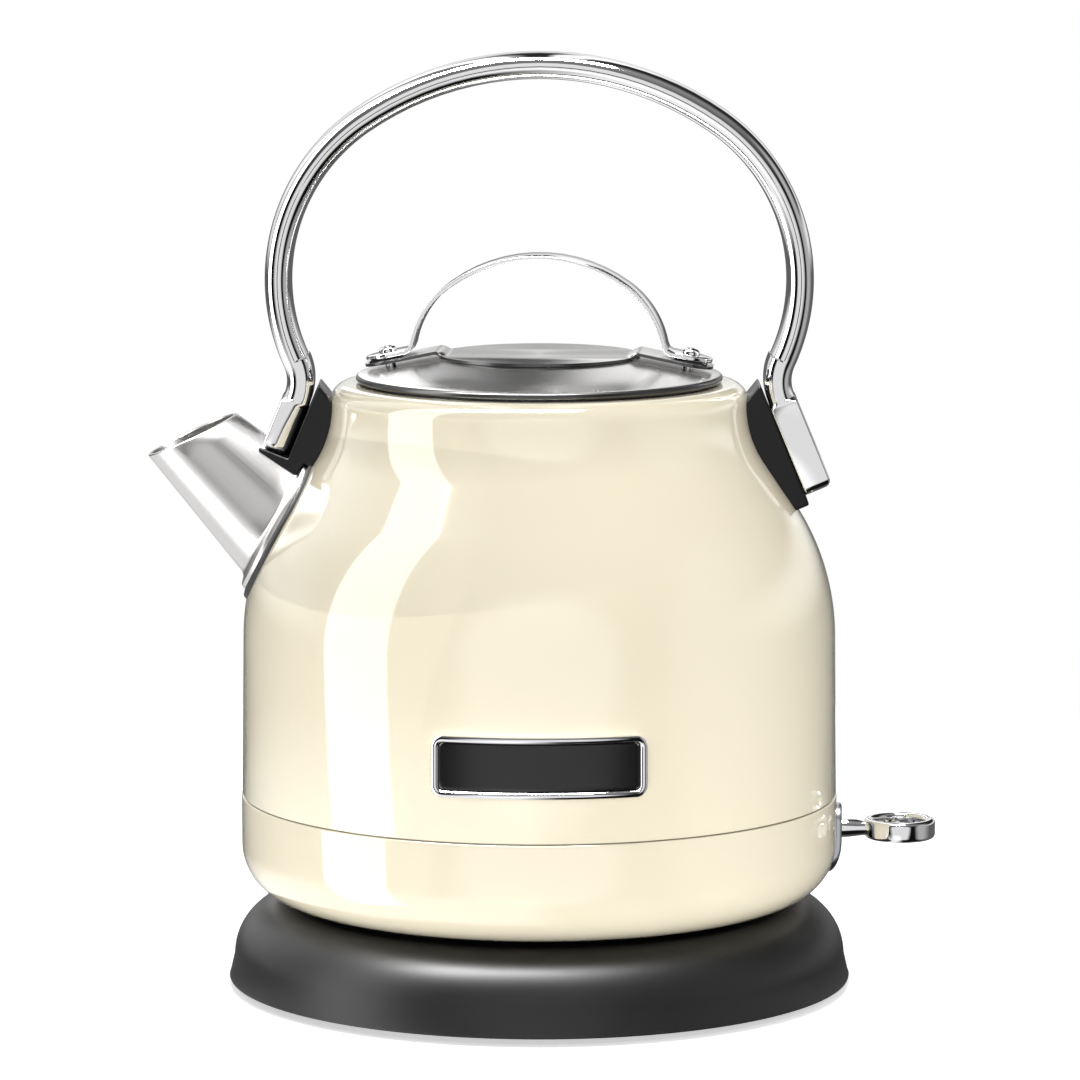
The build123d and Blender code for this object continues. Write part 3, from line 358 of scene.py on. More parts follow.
def copy_of(piece, name, matrix):
    other = piece.copy()
    other.data = piece.data.copy()
    other.name = other.data.name = name
    bpy.context.scene.collection.objects.link(other)
    turn_mesh(other, matrix)
    if matrix.determinant() < 0:
        activate(other)
        bpy.ops.object.mode_set(mode="EDIT")
        bpy.ops.mesh.select_all(action="SELECT")
        bpy.ops.mesh.flip_normals()
        bpy.ops.object.mode_set(mode="OBJECT")
    return other


def join(pieces):
    activate(pieces[0])
    for other in pieces[1:]:
        other.select_set(True)
    bpy.ops.object.join()
    return pieces[0]


def assign(piece, second, belongs):
    """Gives the faces that belong a second material."""
    piece.data.materials.append(second)
    activate(piece)
    bpy.ops.object.mode_set(mode="EDIT")
    bpy.ops.mesh.select_mode(type="FACE")
    bpy.ops.mesh.select_all(action="DESELECT")
    mesh = bmesh.from_edit_mesh(piece.data)
    for face in mesh.faces:
        face.select_set(belongs(face.calc_center_median() / MM, face.normal))
    bmesh.update_edit_mesh(piece.data)
    piece.active_material_index = len(piece.data.materials) - 1
    bpy.ops.object.material_slot_assign()
    bpy.ops.object.mode_set(mode="OBJECT")


def finish_piece(piece, material, body, nodes, angle=32):
    activate(piece)
    bpy.ops.object.shade_smooth_by_angle(angle=math.radians(angle))
    piece.data.materials.clear()
    piece.data.materials.append(material)
    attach(piece, body)
    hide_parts(*nodes)


LID_MATRIX = Matrix.Rotation(math.radians(LID_TURN), 4, "Z")


def finish_lid_piece(piece, material, node):
    turn_mesh(piece, LID_MATRIX)
    finish_piece(piece, material, "lid", [node])


# ------------------------------------------------------------------ materials
def put(tree, kind, **settings):
    """Adds a node, with its properties and input values by name or number."""
    made = tree.nodes.new(kind)
    for name, value in settings.items():
        if hasattr(made, name):
            setattr(made, name, value)
        else:
            made.inputs[name.replace("_", " ")].default_value = value
    return made


def math_node(tree, operation, first, second=0.0, third=None):
    made = put(tree, "ShaderNodeMath", operation=operation)
    for i, value in enumerate((first, second, third)):
        if value is None:
            continue
        if isinstance(value, (int, float)):
            made.inputs[i].default_value = value
        else:
            tree.links.new(value, made.inputs[i])
    return made.outputs[0]


def ramp(tree, value, low, high, to_low=0.0, to_high=1.0):
    made = put(tree, "ShaderNodeMapRange")
    tree.links.new(value, made.inputs[0])
    for i, number in enumerate((low, high, to_low, to_high), start=1):
        made.inputs[i].default_value = number
    return made.outputs[0]


def new_group(name, inputs, outputs):
    group = bpy.data.node_groups.new(name, "ShaderNodeTree")
    for label, default in inputs.items():
        socket = group.interface.new_socket(label, in_out="INPUT", socket_type="NodeSocketFloat")
        socket.default_value = default
    for label in outputs:
        group.interface.new_socket(label, in_out="OUTPUT", socket_type="NodeSocketFloat")
    return group, group.nodes.new("NodeGroupInput"), group.nodes.new("NodeGroupOutput")


def noise(tree, vector, scale, detail=2.0):
    made = put(tree, "ShaderNodeTexNoise")
    tree.links.new(vector, made.inputs["Vector"])
    if isinstance(scale, (int, float)):
        made.inputs["Scale"].default_value = scale
    else:
        tree.links.new(scale, made.inputs["Scale"])
    made.inputs["Detail"].default_value = detail
    return made.outputs[0]


def object_place(tree):
    return put(tree, "ShaderNodeTexCoord").outputs["Object"]


def grain_group():
    """Fine moulded or sprayed grain, with a slow drift of sheen."""
    group, inside, outside = new_group(
        "Surface grain", {"Scale": 900.0, "Drift scale": 18.0}, ["Height", "Drift"]
    )
    place = object_place(group)
    group.links.new(noise(group, place, inside.outputs[0], 3.0), outside.inputs[0])
    group.links.new(noise(group, place, inside.outputs[1], 2.0), outside.inputs[1])
    return group


def turned_brush_group():
    """Brush lines that run in circles round the upright axis, with slow patches."""
    group, inside, outside = new_group(
        "Turned brush lines", {"Lines": 5200.0, "Patches": 9.0}, ["Height", "Patch"]
    )
    place = put(group, "ShaderNodeSeparateXYZ")
    group.links.new(object_place(group), place.inputs[0])
    square = math_node(group, "MULTIPLY", place.outputs[0], place.outputs[0])
    both = math_node(group, "MULTIPLY_ADD", place.outputs[1], place.outputs[1], square)
    radius = math_node(group, "SQRT", both)
    turn = math_node(group, "ARCTAN2", place.outputs[1], place.outputs[0])
    across = put(group, "ShaderNodeCombineXYZ")
    lines = math_node(group, "MULTIPLY", radius, inside.outputs[0])
    group.links.new(lines, across.inputs[0])
    group.links.new(math_node(group, "MULTIPLY", turn, 7.0), across.inputs[1])
    group.links.new(noise(group, across.outputs[0], 1.0, 4.0), outside.inputs[0])
    round_ = put(group, "ShaderNodeCombineXYZ")
    group.links.new(math_node(group, "COSINE", turn), round_.inputs[0])
    group.links.new(math_node(group, "SINE", turn), round_.inputs[1])
    group.links.new(noise(group, round_.outputs[0], inside.outputs[1], 1.0), outside.inputs[1])
    return group


def spout_brush_group():
    """Brush lines that run along the spout, from a frame that lies on its axis."""
    group, inside, outside = new_group(
        "Spout brush lines", {"Across": 150.0, "Along": 26.0}, ["Height", "Patch"]
    )
    framed = put(group, "ShaderNodeMapping", vector_type="TEXTURE")
    framed.inputs["Location"].default_value = SPOUT_TIP * MM
    framed.inputs["Rotation"].default_value = (0, math.radians(SPOUT_ANGLE - 90), 0)
    group.links.new(object_place(group), framed.inputs[0])
    place = put(group, "ShaderNodeSeparateXYZ")
    group.links.new(framed.outputs[0], place.inputs[0])
    turn = math_node(group, "ARCTAN2", place.outputs[1], place.outputs[0])
    made = put(group, "ShaderNodeCombineXYZ")
    group.links.new(math_node(group, "MULTIPLY", turn, inside.outputs[0]), made.inputs[0])
    along = math_node(group, "MULTIPLY", place.outputs[2], inside.outputs[1])
    group.links.new(along, made.inputs[1])
    group.links.new(noise(group, made.outputs[0], 1.0, 3.0), outside.inputs[0])
    group.links.new(noise(group, object_place(group), 30.0, 1.0), outside.inputs[1])
    return group


GROUPS = {}
MATERIALS = {}


def group_in(tree, name, **values):
    made = put(tree, "ShaderNodeGroup")
    made.node_tree = GROUPS[name]
    for i, value in enumerate(values.values()):
        made.inputs[i].default_value = value
    return made


def shader(name, base, metallic, roughness, **sockets):
    """A material with a Principled shader whose even values sit on its sockets."""
    made = bpy.data.materials.new(name)
    made.use_nodes = True
    made.diffuse_color = (*base, 1.0)
    tree = made.node_tree
    tree.nodes.clear()
    output = put(tree, "ShaderNodeOutputMaterial")
    principled = put(tree, "ShaderNodeBsdfPrincipled")
    tree.links.new(principled.outputs[0], output.inputs[0])
    principled.inputs["Base Color"].default_value = (*base, 1.0)
    principled.inputs["Metallic"].default_value = metallic
    principled.inputs["Roughness"].default_value = roughness
    for label, value in sockets.items():
        principled.inputs[label.replace("_", " ")].default_value = value
    MATERIALS[name] = made
    return tree, principled


def bump(tree, principled, height, strength, distance):
    made = put(tree, "ShaderNodeBump")
    made.inputs["Strength"].default_value = strength
    made.inputs["Distance"].default_value = distance
    tree.links.new(height, made.inputs["Height"])
    tree.links.new(made.outputs[0], principled.inputs["Normal"])


def tint(tree, principled, base, factor, low, high):
    """Varies the base colour between two shades by a mask."""
    made = put(tree, "ShaderNodeMix", data_type="RGBA")
    tree.links.new(factor, made.inputs["Factor"])
    for socket in made.inputs:
        if socket.type == "RGBA" and socket.name == "A":
            socket.default_value = (*(c * low for c in base), 1.0)
        if socket.type == "RGBA" and socket.name == "B":
            socket.default_value = (*(min(1.0, c * high) for c in base), 1.0)
    result = [s for s in made.outputs if s.type == "RGBA"][0]
    tree.links.new(result, principled.inputs["Base Color"])


def grained(name, base, metallic, roughness, scale, depth, drift=0.06, shade=0.06, **sockets):
    """A moulded, cast or sprayed finish: grain, drifting sheen and drifting shade."""
    tree, principled = shader(name, base, metallic, roughness, **sockets)
    grain = group_in(tree, "grain", scale=scale, drift_scale=18.0)
    sheen = ramp(tree, grain.outputs[1], 0.3, 0.7, roughness - drift, roughness + drift)
    tree.links.new(sheen, principled.inputs["Roughness"])
    tint(tree, principled, base, grain.outputs[1], 1 - shade, 1 + shade)
    bump(tree, principled, grain.outputs[0], 0.35, depth)
    return tree, principled


def brushed(name, base, roughness, kind, values, depth, anisotropy, tangent):
    """Brushed metal: lines in its relief and roughness, and a stretched gloss."""
    tree, principled = shader(name, base, 1.0, roughness, Anisotropic=anisotropy)
    lines = group_in(tree, kind, **values)
    rough = ramp(tree, lines.outputs[0], 0.25, 0.75, roughness - 0.04, roughness + 0.04)
    tree.links.new(rough, principled.inputs["Roughness"])
    tint(tree, principled, base, lines.outputs[0], 0.95, 1.04)
    bump(tree, principled, lines.outputs[0], 0.25, depth)
    place = object_place(tree)
    if tangent == "round":
        cross = put(tree, "ShaderNodeVectorMath", operation="CROSS_PRODUCT")
        cross.inputs[0].default_value = (0, 0, 1)
        tree.links.new(place, cross.inputs[1])
        tree.links.new(cross.outputs[0], principled.inputs["Tangent"])
    return tree, principled


def make_materials():
    finishes = bpy.context.scene.kettle_finishes
    GROUPS["grain"] = grain_group()
    GROUPS["turned"] = turned_brush_group()
    GROUPS["spout"] = spout_brush_group()
    steel, chrome = tuple(finishes.steel), tuple(finishes.chrome)
    black = tuple(finishes.black)
    fine = finishes.brushing * 0.02 * MM
    grained(
        "Enamel", tuple(finishes.enamel), 0.0, finishes.enamel_roughness, 260.0,
        0.004 * MM, drift=0.015, shade=0.008, Coat_Weight=1.0, Coat_Roughness=0.015,
        Specular_IOR_Level=0.55,
    )
    grained(
        "Base plastic", tuple(finishes.base), 0.0, finishes.base_roughness, 2600.0,
        0.02 * MM, drift=0.04, shade=0.08, Specular_IOR_Level=0.38,
    )
    grained(
        "Mount plastic", black, 0.0, 0.26, 900.0, 0.004 * MM, drift=0.03,
        Specular_IOR_Level=0.28,
    )
    # Near-black metal for the lid's lower rim and the lid plate's side faces: painted shade,
    # standing in for the dark lines of shadow at those edges.
    grained("Painted edge shade", (0.10, 0.10, 0.10), 1.0, 0.3, 1200.0, 0.004 * MM)
    grained("Badge black", (0.008, 0.008, 0.0085), 0.0, 0.2, 1400.0, 0.003 * MM, drift=0.03)
    grained("Control plastic", (0.035, 0.035, 0.036), 0.0, 0.45, 1800.0, 0.015 * MM)
    grained("Glide plastic", (0.55, 0.55, 0.53), 0.0, 0.4, 1500.0, 0.01 * MM)
    grained("Filter nylon", (0.70, 0.69, 0.66), 0.0, 0.42, 1500.0, 0.01 * MM)
    grained("Rubber", (0.014, 0.014, 0.014), 0.0, 0.62, 3000.0, 0.03 * MM)
    grained("Silicone", (0.30, 0.30, 0.29), 0.0, 0.5, 1200.0, 0.01 * MM)
    grained("Chrome", chrome, 1.0, 0.045, 420.0, 0.0015 * MM, drift=0.015, shade=0.01)
    grained("Brass", (0.62, 0.42, 0.16), 1.0, 0.32, 900.0, 0.005 * MM)
    grained("Aluminium", (0.56, 0.56, 0.57), 1.0, 0.42, 700.0, 0.01 * MM)
    grained("Element steel", (0.34, 0.33, 0.32), 1.0, 0.34, 900.0, 0.006 * MM, shade=0.14)
    grained("Plate satin", (0.54, 0.56, 0.60), 1.0, 0.3, 2400.0, 0.006 * MM)
    brushed(
        "Lid steel", steel, 0.19, "turned", {"lines": 5200.0, "patches": 1.4},
        fine, 0.6, "round",
    )
    brushed(
        "Vessel steel", (0.50, 0.50, 0.49), 0.3, "turned",
        {"lines": 2600.0, "patches": 2.0}, fine, 0.5, "round",
    )
    brushed(
        "Spout steel", steel, 0.3, "spout", {"across": 150.0, "along": 26.0},
        fine, 0.2, "plain",
    )


CAD_FINISHES = {
    "Base plastic": ("base_plate", "base_connector", "cord_bush"),
    "Rubber": ("base_feet", "steam_grommet"),
    "Element steel": (
        "base_screws", "cover_screws", "heating_element", "handle_screws",
        "bimetal_discs", "steam_bimetal", "trip_spring", "lever_pin",
    ),
    "Brass": ("socket_contacts", "connector_pins", "terminal_strips"),
    "Glide plastic": ("glide_ring",),
    "Control plastic": (
        "bottom_cover", "control_housing", "trip_lever", "steam_switch", "lever_bracket",
    ),
    "Vessel steel": ("vessel_base", "steam_tube", "lid_plug"),
    "Aluminium": ("heat_diffuser",),
    "Silicone": ("handle_seals", "lid_seal"),
    "Filter nylon": ("filter_frame",),
    "Spout steel": ("filter_mesh",),
}


# ------------------------------------------------------------------ operators
class KETTLE_OT_stage(bpy.types.Operator):
    """Set the camera, the floor and the studio light"""
    bl_idname = "kettle.stage"
    bl_label = "Stage"

    def execute(self, context):
        scene = context.scene
        deselect()
        data = bpy.data.cameras.new("Camera")
        data.lens, data.sensor_width = 194.33, 36.0
        camera = bpy.data.objects.new("Camera", data)
        camera.location = (0.00018, -1.502, 0.323)
        camera.rotation_euler = (math.radians(90 - 7.83), 0, 0)
        scene.collection.objects.link(camera)
        scene.camera = camera
        self.floor()
        self.lights(scene)
        self.world(scene)
        scene.view_settings.view_transform = "Standard"
        return {"FINISHED"}

    def floor(self):
        bpy.ops.mesh.primitive_circle_add(
            vertices=128, radius=0.45, fill_type="NGON", location=(0, 0, 0)
        )
        floor = bpy.context.object
        floor.name = "floor"
        tree, principled = shader("Floor", (0.86, 0.86, 0.86), 0.0, 0.8)
        principled.inputs["Specular IOR Level"].default_value = 0.1
        principled.inputs["Emission Color"].default_value = (1, 1, 1, 1)
        principled.inputs["Emission Strength"].default_value = 0.56
        floor.data.materials.append(MATERIALS["Floor"])
        floor.visible_glossy = False

    def lights(self, scene):
        aim = Vector((0, 0, 0.11))
        rows = (
            ("key strip", (-1.44, -0.41, 1.0), 0.80, 4.4, 38.0),
            ("key", (-1.44, -0.41, 0.6), 0.80, 1.5, 11.5),
            ("overhead", (0.0, -0.12, 1.5), 0.7, 0.5, 11.0),
            ("sheen strip", (-0.3, -0.32, 1.5), 1.3, 0.46, 98.0),
            ("front", (0.4, -2.0, 1.25), 1.2, 0.8, 13.4),
            ("right", (1.5, -0.1, 0.6), 0.5, 1.1, 3.4),
        )
        for name, place, width, height, power in rows:
            data = bpy.data.lights.new(name, "AREA")
            data.shape, data.size, data.size_y = "RECTANGLE", width, height
            data.energy = power
            light = bpy.data.objects.new(name, data)
            light.location = place
            way = aim - Vector(place)
            if name in ("key", "key strip", "right"):
                way.z = 0.0
            if name == "sheen strip":
                way = Vector((0, 0, -1))
            light.rotation_euler = way.to_track_quat("-Z", "Y").to_euler()
            light.visible_glossy = "strip" in name
            light.visible_diffuse = "strip" not in name
            scene.collection.objects.link(light)

    def world(self, scene):
        """White to the camera. Reflections see a dark near side, white round the
        viewer, a bright ground on the left, and bands above the far side."""
        world = bpy.data.worlds.new("Studio")
        scene.world = world
        world.use_nodes = True
        tree = world.node_tree
        tree.nodes.clear()
        output = put(tree, "ShaderNodeOutputWorld")
        seen = put(tree, "ShaderNodeBackground")
        seen.inputs[0].default_value = (1, 1, 1, 1)
        room = put(tree, "ShaderNodeBackground")
        place = put(tree, "ShaderNodeSeparateXYZ")
        coordinate = put(tree, "ShaderNodeTexCoord")
        tree.links.new(coordinate.outputs["Generated"], place.inputs[0])
        x, y, z = place.outputs
        bands = put(tree, "ShaderNodeValToRGB")
        tree.links.new(ramp(tree, x, -1.0, 1.0), bands.inputs[0])
        stops = (
            (0.0, 0.4), (0.12, 1.5), (0.28, 1.4), (0.33, 0.2), (0.39, 0.4), (0.405, 3.8),
            (0.44, 3.4), (0.455, 0.7), (0.482, 0.03), (0.512, 0.03), (0.528, 1.6),
            (0.565, 1.4), (0.582, 0.03), (1.0, 0.03),
        )
        elements = bands.color_ramp.elements
        while len(elements) < len(stops):
            elements.new(0.5)
        for element, (at, value) in zip(elements, stops):
            element.position = at
            element.color = (value, value, value, 1)
        rise = ramp(tree, z, 0.16, 0.26)
        high = math_node(tree, "MULTIPLY", bands.outputs[0], rise)
        over = ramp(tree, z, -0.05, 0.08, 0.15, 1.05)
        low = math_node(tree, "MULTIPLY", over, math_node(tree, "SUBTRACT", 1.0, rise))
        far = math_node(tree, "ADD", high, low)
        near = ramp(tree, z, 0.25, 0.9, 0.008, 0.35)
        facing = ramp(tree, y, -0.82, -0.9, 0.0, 1.0)
        near = math_node(tree, "ADD", near, facing)
        near = math_node(tree, "ADD", near, ramp(tree, x, 0.72, 0.86, 0.0, 0.55))
        back = ramp(tree, y, -0.15, 0.35)
        front = math_node(tree, "SUBTRACT", 1.0, back)
        near = math_node(tree, "MULTIPLY", near, front)
        both = math_node(tree, "MULTIPLY_ADD", far, back, near)
        path = put(tree, "ShaderNodeLightPath")
        under = math_node(
            tree, "MULTIPLY", ramp(tree, z, -0.2, -0.4, 0.0, 1.2),
            path.outputs["Is Glossy Ray"],
        )
        under = math_node(tree, "MULTIPLY", under, ramp(tree, x, 0.1, -0.12))
        both = math_node(tree, "ADD", both, under)
        tree.links.new(both, room.inputs[1])
        mix = put(tree, "ShaderNodeMixShader")
        tree.links.new(path.outputs["Is Camera Ray"], mix.inputs[0])
        tree.links.new(room.outputs[0], mix.inputs[1])
        tree.links.new(seen.outputs[0], mix.inputs[2])
        tree.links.new(mix.outputs[0], output.inputs[0])


class KETTLE_OT_base(bpy.types.Operator):
    """Turn the power base's skirt, top, drip well and groove"""
    bl_idname = "kettle.base"
    bl_label = "Power base"

    def execute(self, context):
        steps = context.scene.kettle_shapes.steps
        top, wall, edge = BASE_HEIGHT, 2.2, 14.0
        shoulder = (65.8, top - edge)
        outer = [(81.2, 2.3), (80.95, 2.9)]
        outer += arc(shoulder, edge, 0, 90, 22)
        rows = [
            (32.6, top), (32.2, top - 0.12), (31.9, top - 0.6), (31.5, top - 1.1),
            (31.0, top - 1.2), (29.6, top - 1.2), (29.3, top - 1.5),
            (29.3, top - 3.4), (23.7, top - 3.4), (23.7, top - 1.5),
            (23.4, top - 1.2), (15.4, top - 1.2), (15.06, top - 1.55),
            (15.06, 9.0), (19.0, 9.0), (19.0, top - 5.6), (34.2, top - 5.6),
            (34.2, top - wall),
        ]
        inner = arc(shoulder, edge - wall, 90, 0, 14)
        foot = [(78.6, 2.0), (78.75, 2.0), (80.85, 2.0), (81.12, 2.1)]
        piece = lathe("base_skirt", outer + rows + inner + foot, steps)
        bpy.ops.mesh.primitive_cylinder_add(
            vertices=64, radius=5.25 * MM, depth=40 * MM,
            location=Vector((0, 76, 9.6)) * MM, rotation=(math.radians(90), 0, 0),
        )
        combine(piece, context.object, "DIFFERENCE")
        finish_piece(piece, MATERIALS["Base plastic"], "base", ["base_shell"])
        return {"FINISHED"}


class KETTLE_OT_body(bpy.types.Operator):
    """Turn the enamelled body with its rolled neck and steel inside"""
    bl_idname = "kettle.body"
    bl_label = "Enamelled body"

    def execute(self, context):
        steps = context.scene.kettle_shapes.steps
        low = SEAM + 0.125
        outer = [(BODY_RADIUS - 0.35, low), (BODY_RADIUS - 0.1, low + 0.1)]
        outer += body_outline(0, low + 0.35)
        mouth = [(MOUTH_RADIUS + 0.7, NECK_TOP)]
        mouth += arc((MOUTH_RADIUS + 0.7, NECK_TOP - 0.7), 0.7, 90, 180, 5)[1:]
        mouth += [(MOUTH_RADIUS, NECK_TOP - 9), (MOUTH_RADIUS + 1, NECK_TOP - 9)]
        mouth += [(MOUTH_RADIUS + 1, NECK_TOP - 1)]
        inner = body_outline(1.0, low)[::-1]
        piece = lathe("enamel_body", outer + mouth + inner, steps)
        combine(piece, spout_cone_tool(-1.5, 12, 50), "DIFFERENCE")
        finish_piece(
            piece, MATERIALS["Enamel"], "kettle", ["body_shell"], angle=28
        )
        assign(piece, MATERIALS["Vessel steel"], self.is_inside)
        return {"FINISHED"}

    @staticmethod
    def is_inside(place, normal):
        radius = math.hypot(place.x, place.y)
        if place.z > NECK_TOP - RIM_RADIUS:
            rolled = math.hypot(
                radius - NECK_RADIUS + RIM_RADIUS, place.z - NECK_TOP + RIM_RADIUS
            )
            return rolled < RIM_RADIUS - 0.4 and place.z < NECK_TOP - 0.3
        return radius < body_radius_at(place.z, 0.45)


class KETTLE_OT_housing(bpy.types.Operator):
    """Turn the enamelled band below the seam, open for the lever"""
    bl_idname = "kettle.housing"
    bl_label = "Lower housing"

    def execute(self, context):
        steps = context.scene.kettle_shapes.steps
        corner = (HOUSING_RADIUS - HOUSING_CORNER, KETTLE_BOTTOM + HOUSING_CORNER)
        top = SEAM - 0.125
        path = arc(corner, HOUSING_CORNER, -90, 0, 22)
        path += arc((HOUSING_RADIUS - 0.4, top - 0.4), 0.4, 0, 90, 4)
        path += [(76.3, top), (76.3, 51.9), (74.5, 51.9), (74.5, KETTLE_BOTTOM + 14)]
        inside = arc(corner, HOUSING_CORNER - 3.2, 0, -68, 8)
        path += inside + [(66.3, 27.4), (57.3, 27.4), (57.3, 25.4), (63.3, 25.4)]
        path += [(63.3, KETTLE_BOTTOM + 0.1)]
        piece = lathe("enamel_band", path, steps)
        bpy.ops.mesh.primitive_cube_add(size=MM, location=Vector((72.7, 0, 37.4)) * MM)
        slot = context.object
        activate(slot)
        bpy.ops.transform.resize(value=(14, 6.5, 12.7))
        bpy.ops.object.transform_apply(location=False, rotation=False, scale=True)
        combine(piece, slot, "DIFFERENCE")
        finish_piece(piece, MATERIALS["Enamel"], "kettle", ["lower_housing"], angle=28)
        return {"FINISHED"}


def spout_way():
    a = math.radians(SPOUT_ANGLE)
    return Vector((-math.cos(a), 0, math.sin(a)))


def spout_point(along, radius, turn):
    """A point round the spout's axis: in from the rim's middle, out, and round."""
    way = spout_way()
    side = Vector((0, 1, 0))
    over = side.cross(way)
    out = over * math.cos(turn) + side * math.sin(turn)
    return SPOUT_TIP - way * along + out * radius


def spout_cone_radius(along, offset):
    return SPOUT_RADIUS + offset + along * math.tan(math.radians(SPOUT_HALF_ANGLE))


def halve(near, far, goes_on):
    """Closes in on the place in a range where goes_on turns false."""
    for _ in range(34):
        middle = (near + far) / 2
        if goes_on(middle):
            near = middle
        else:
            far = middle
    return near


def reach_body(turn, offset, proud):
    """How far in from the rim a line along the spout meets the body's outline."""
    def is_outside(along):
        at = spout_point(along, spout_cone_radius(along, offset), turn)
        return math.hypot(at.x, at.y) > body_radius_at(at.z, -proud)

    return halve(0.0, 75.0, is_outside)


def reach_rim(turn, offset):
    """Where a line along the spout meets the slanted plane of its pouring edge."""
    tilt = math.radians(SPOUT_TILT)
    normal = Vector((-math.sin(tilt), 0, math.cos(tilt)))

    def is_beyond(along):
        at = spout_point(along, spout_cone_radius(along, offset), turn)
        return (at - SPOUT_TIP).dot(normal) > 0

    return halve(-20.0, 20.0, is_beyond)


def spout_ring(offset, along_at, count=96):
    ring = []
    for i in range(count):
        turn = math.tau * i / count
        along = along_at(turn)
        ring.append(spout_point(along, spout_cone_radius(along, offset), turn) * MM)
    return ring


def spout_cone_tool(offset, start, end):
    """A plain cone along the spout, to cut other pieces with."""
    turn = Vector((0, 0, 1)).rotation_difference(spout_way()).to_euler()
    bpy.ops.mesh.primitive_cone_add(
        vertices=128, radius1=spout_cone_radius(end, offset) * MM,
        radius2=spout_cone_radius(start, offset) * MM, depth=(end - start) * MM,
        location=(SPOUT_TIP - spout_way() * (start + end) / 2) * MM, rotation=turn,
    )
    return bpy.context.object


class KETTLE_OT_spout(bpy.types.Operator):
    """Draw the conical spout out of its flange, with its seal"""
    bl_idname = "kettle.spout"
    bl_label = "Spout"

    def execute(self, context):
        fillet = context.scene.kettle_shapes.spout_fillet / MM
        wall, flange, seat, lip = 0.9, 2.4, 0.9, 0.28

        def rim(offset, back):
            return spout_ring(offset, lambda turn: reach_rim(turn, offset) + back)

        def foot(offset, proud):
            return spout_ring(offset, lambda turn: reach_body(turn, offset, proud))

        rings = [rim(-wall, lip * 1.6), rim(-wall + 0.2, 0.12), rim(-wall / 2, 0.0)]
        rings += [rim(-0.2, 0.12), rim(0.0, lip * 1.6)]
        steps = 7
        for i in range(1, steps):
            rings.append(spout_ring(0.0, lambda turn, i=i: (
                (reach_rim(turn, 0.0) + lip * 1.6) * (1 - i / steps)
                + reach_body(turn, 0.0, seat + 1.0 + fillet) * i / steps
            )))
        face = seat + 1.0
        for k in range(5):
            a = math.radians(90 * k / 4)
            rings.append(foot(fillet * (1 - math.cos(a)), face + fillet * (1 - math.sin(a))))
        rings += [foot(flange - 0.3, face), foot(flange - 0.08, face - 0.08)]
        rings += [foot(flange, face - 0.3), foot(flange, seat), foot(-wall, seat)]
        for i in range(1, steps):
            rings.append(spout_ring(-wall, lambda turn, i=i: (
                reach_body(turn, -wall, seat) * (1 - i / steps)
                + (reach_rim(turn, -wall) + lip * 1.6) * i / steps
            )))
        piece = loft("spout_horn", rings, looped=True)
        finish_piece(piece, MATERIALS["Spout steel"], "kettle", ["spout"])
        edge = flange + 1.4
        rows = [(-wall, 0.85), (edge - 0.2, 0.85), (edge, 0.65), (edge, 0.06), (-wall, 0.06)]
        seal = loft("spout_seal", [foot(*row) for row in rows], looped=True)
        finish_piece(seal, MATERIALS["Rubber"], "kettle", ["spout_gasket"])
        return {"FINISHED"}


def bar_section(low, high, half, outer, inner, crown):
    """The handle's section as width and distance outwards, with rounded corners."""
    path = []
    for side, steps in ((-1, 6), (1, 6)):
        centre = (side * (half - outer), high - outer)
        start, end = (180, 90) if side < 0 else (90, 0)
        path += arc(centre, outer, start, end, steps)
        if side < 0:
            reach = half - outer
            for i in range(1, 8):
                y = -reach + 2 * reach * i / 8
                path.append((y, high + crown * (1 - (y / reach) ** 2)))
    for side in (1, -1):
        centre = (side * (half - inner), low + inner)
        start, end = (0, -90) if side > 0 else (-90, -180)
        path += arc(centre, inner, start, end, 3)
        if side > 0:
            reach = half - inner
            path += [(reach - 2 * reach * i / 6, low) for i in range(1, 6)]
    return path


def bar_ring(place, outward, section):
    """Puts a section on the XZ plane at a place, square to the bar."""
    return [
        Vector((place[0] + outward[0] * out, y, place[1] + outward[1] * out)) * MM
        for y, out in section
    ]


def arch_stations(side_centre, rise, end_angle, steps):
    """Places and outward directions along the three arcs of a hoop."""
    offset, centre_z, side_radius = side_centre
    crown = (offset**2 + rise**2 - side_radius**2) / (2 * (rise - side_radius))
    meet = math.degrees(math.atan2(crown - rise, offset))
    rows = (
        ((offset, centre_z), side_radius, -end_angle, meet),
        ((0, centre_z + rise - crown), crown, meet, 180 - meet),
        ((-offset, centre_z), side_radius, 180 - meet, 180 + end_angle),
    )
    stations = []
    for centre, radius, start, end in rows:
        count = steps if radius == side_radius else steps // 2
        for i in range(count + 1):
            if i or not stations:
                a = start + (end - start) * i / count
                stations.append((polar(centre, radius, a), polar((0, 0), 1, a)))
    return stations


def bend_stations(steps):
    """The right bend, from the arch down to the shoe."""
    offset, centre_z, side_radius = BAR_SIDE
    start = polar((offset, centre_z), side_radius, -BAR_END)
    centre = polar(start, BEND_RADIUS, -BAR_END)
    stations = []
    for i in range(steps + 1):
        a = 180 - BAR_END + (BAR_END + SHOE_ANGLE) * i / steps
        way = polar((0, 0), -1, a)
        stations.append((polar(centre, BEND_RADIUS, a), way))
    return stations


def shoe_station(along, side=1):
    place, way = bend_stations(1)[-1]
    a = math.radians(SHOE_ANGLE)
    at = (place[0] + along * math.sin(a), place[1] - along * math.cos(a))
    return (side * at[0], at[1]), (side * math.cos(a), math.sin(a))


def shoe_flat(side, along, out):
    place, way = shoe_station(along, side)
    return (place[0] + way[0] * out, place[1] + way[1] * out)


SHOES = {-1: 14.3, 1: 25.0}     # length of the shoe on each side
SHOE_HALF = 3.7


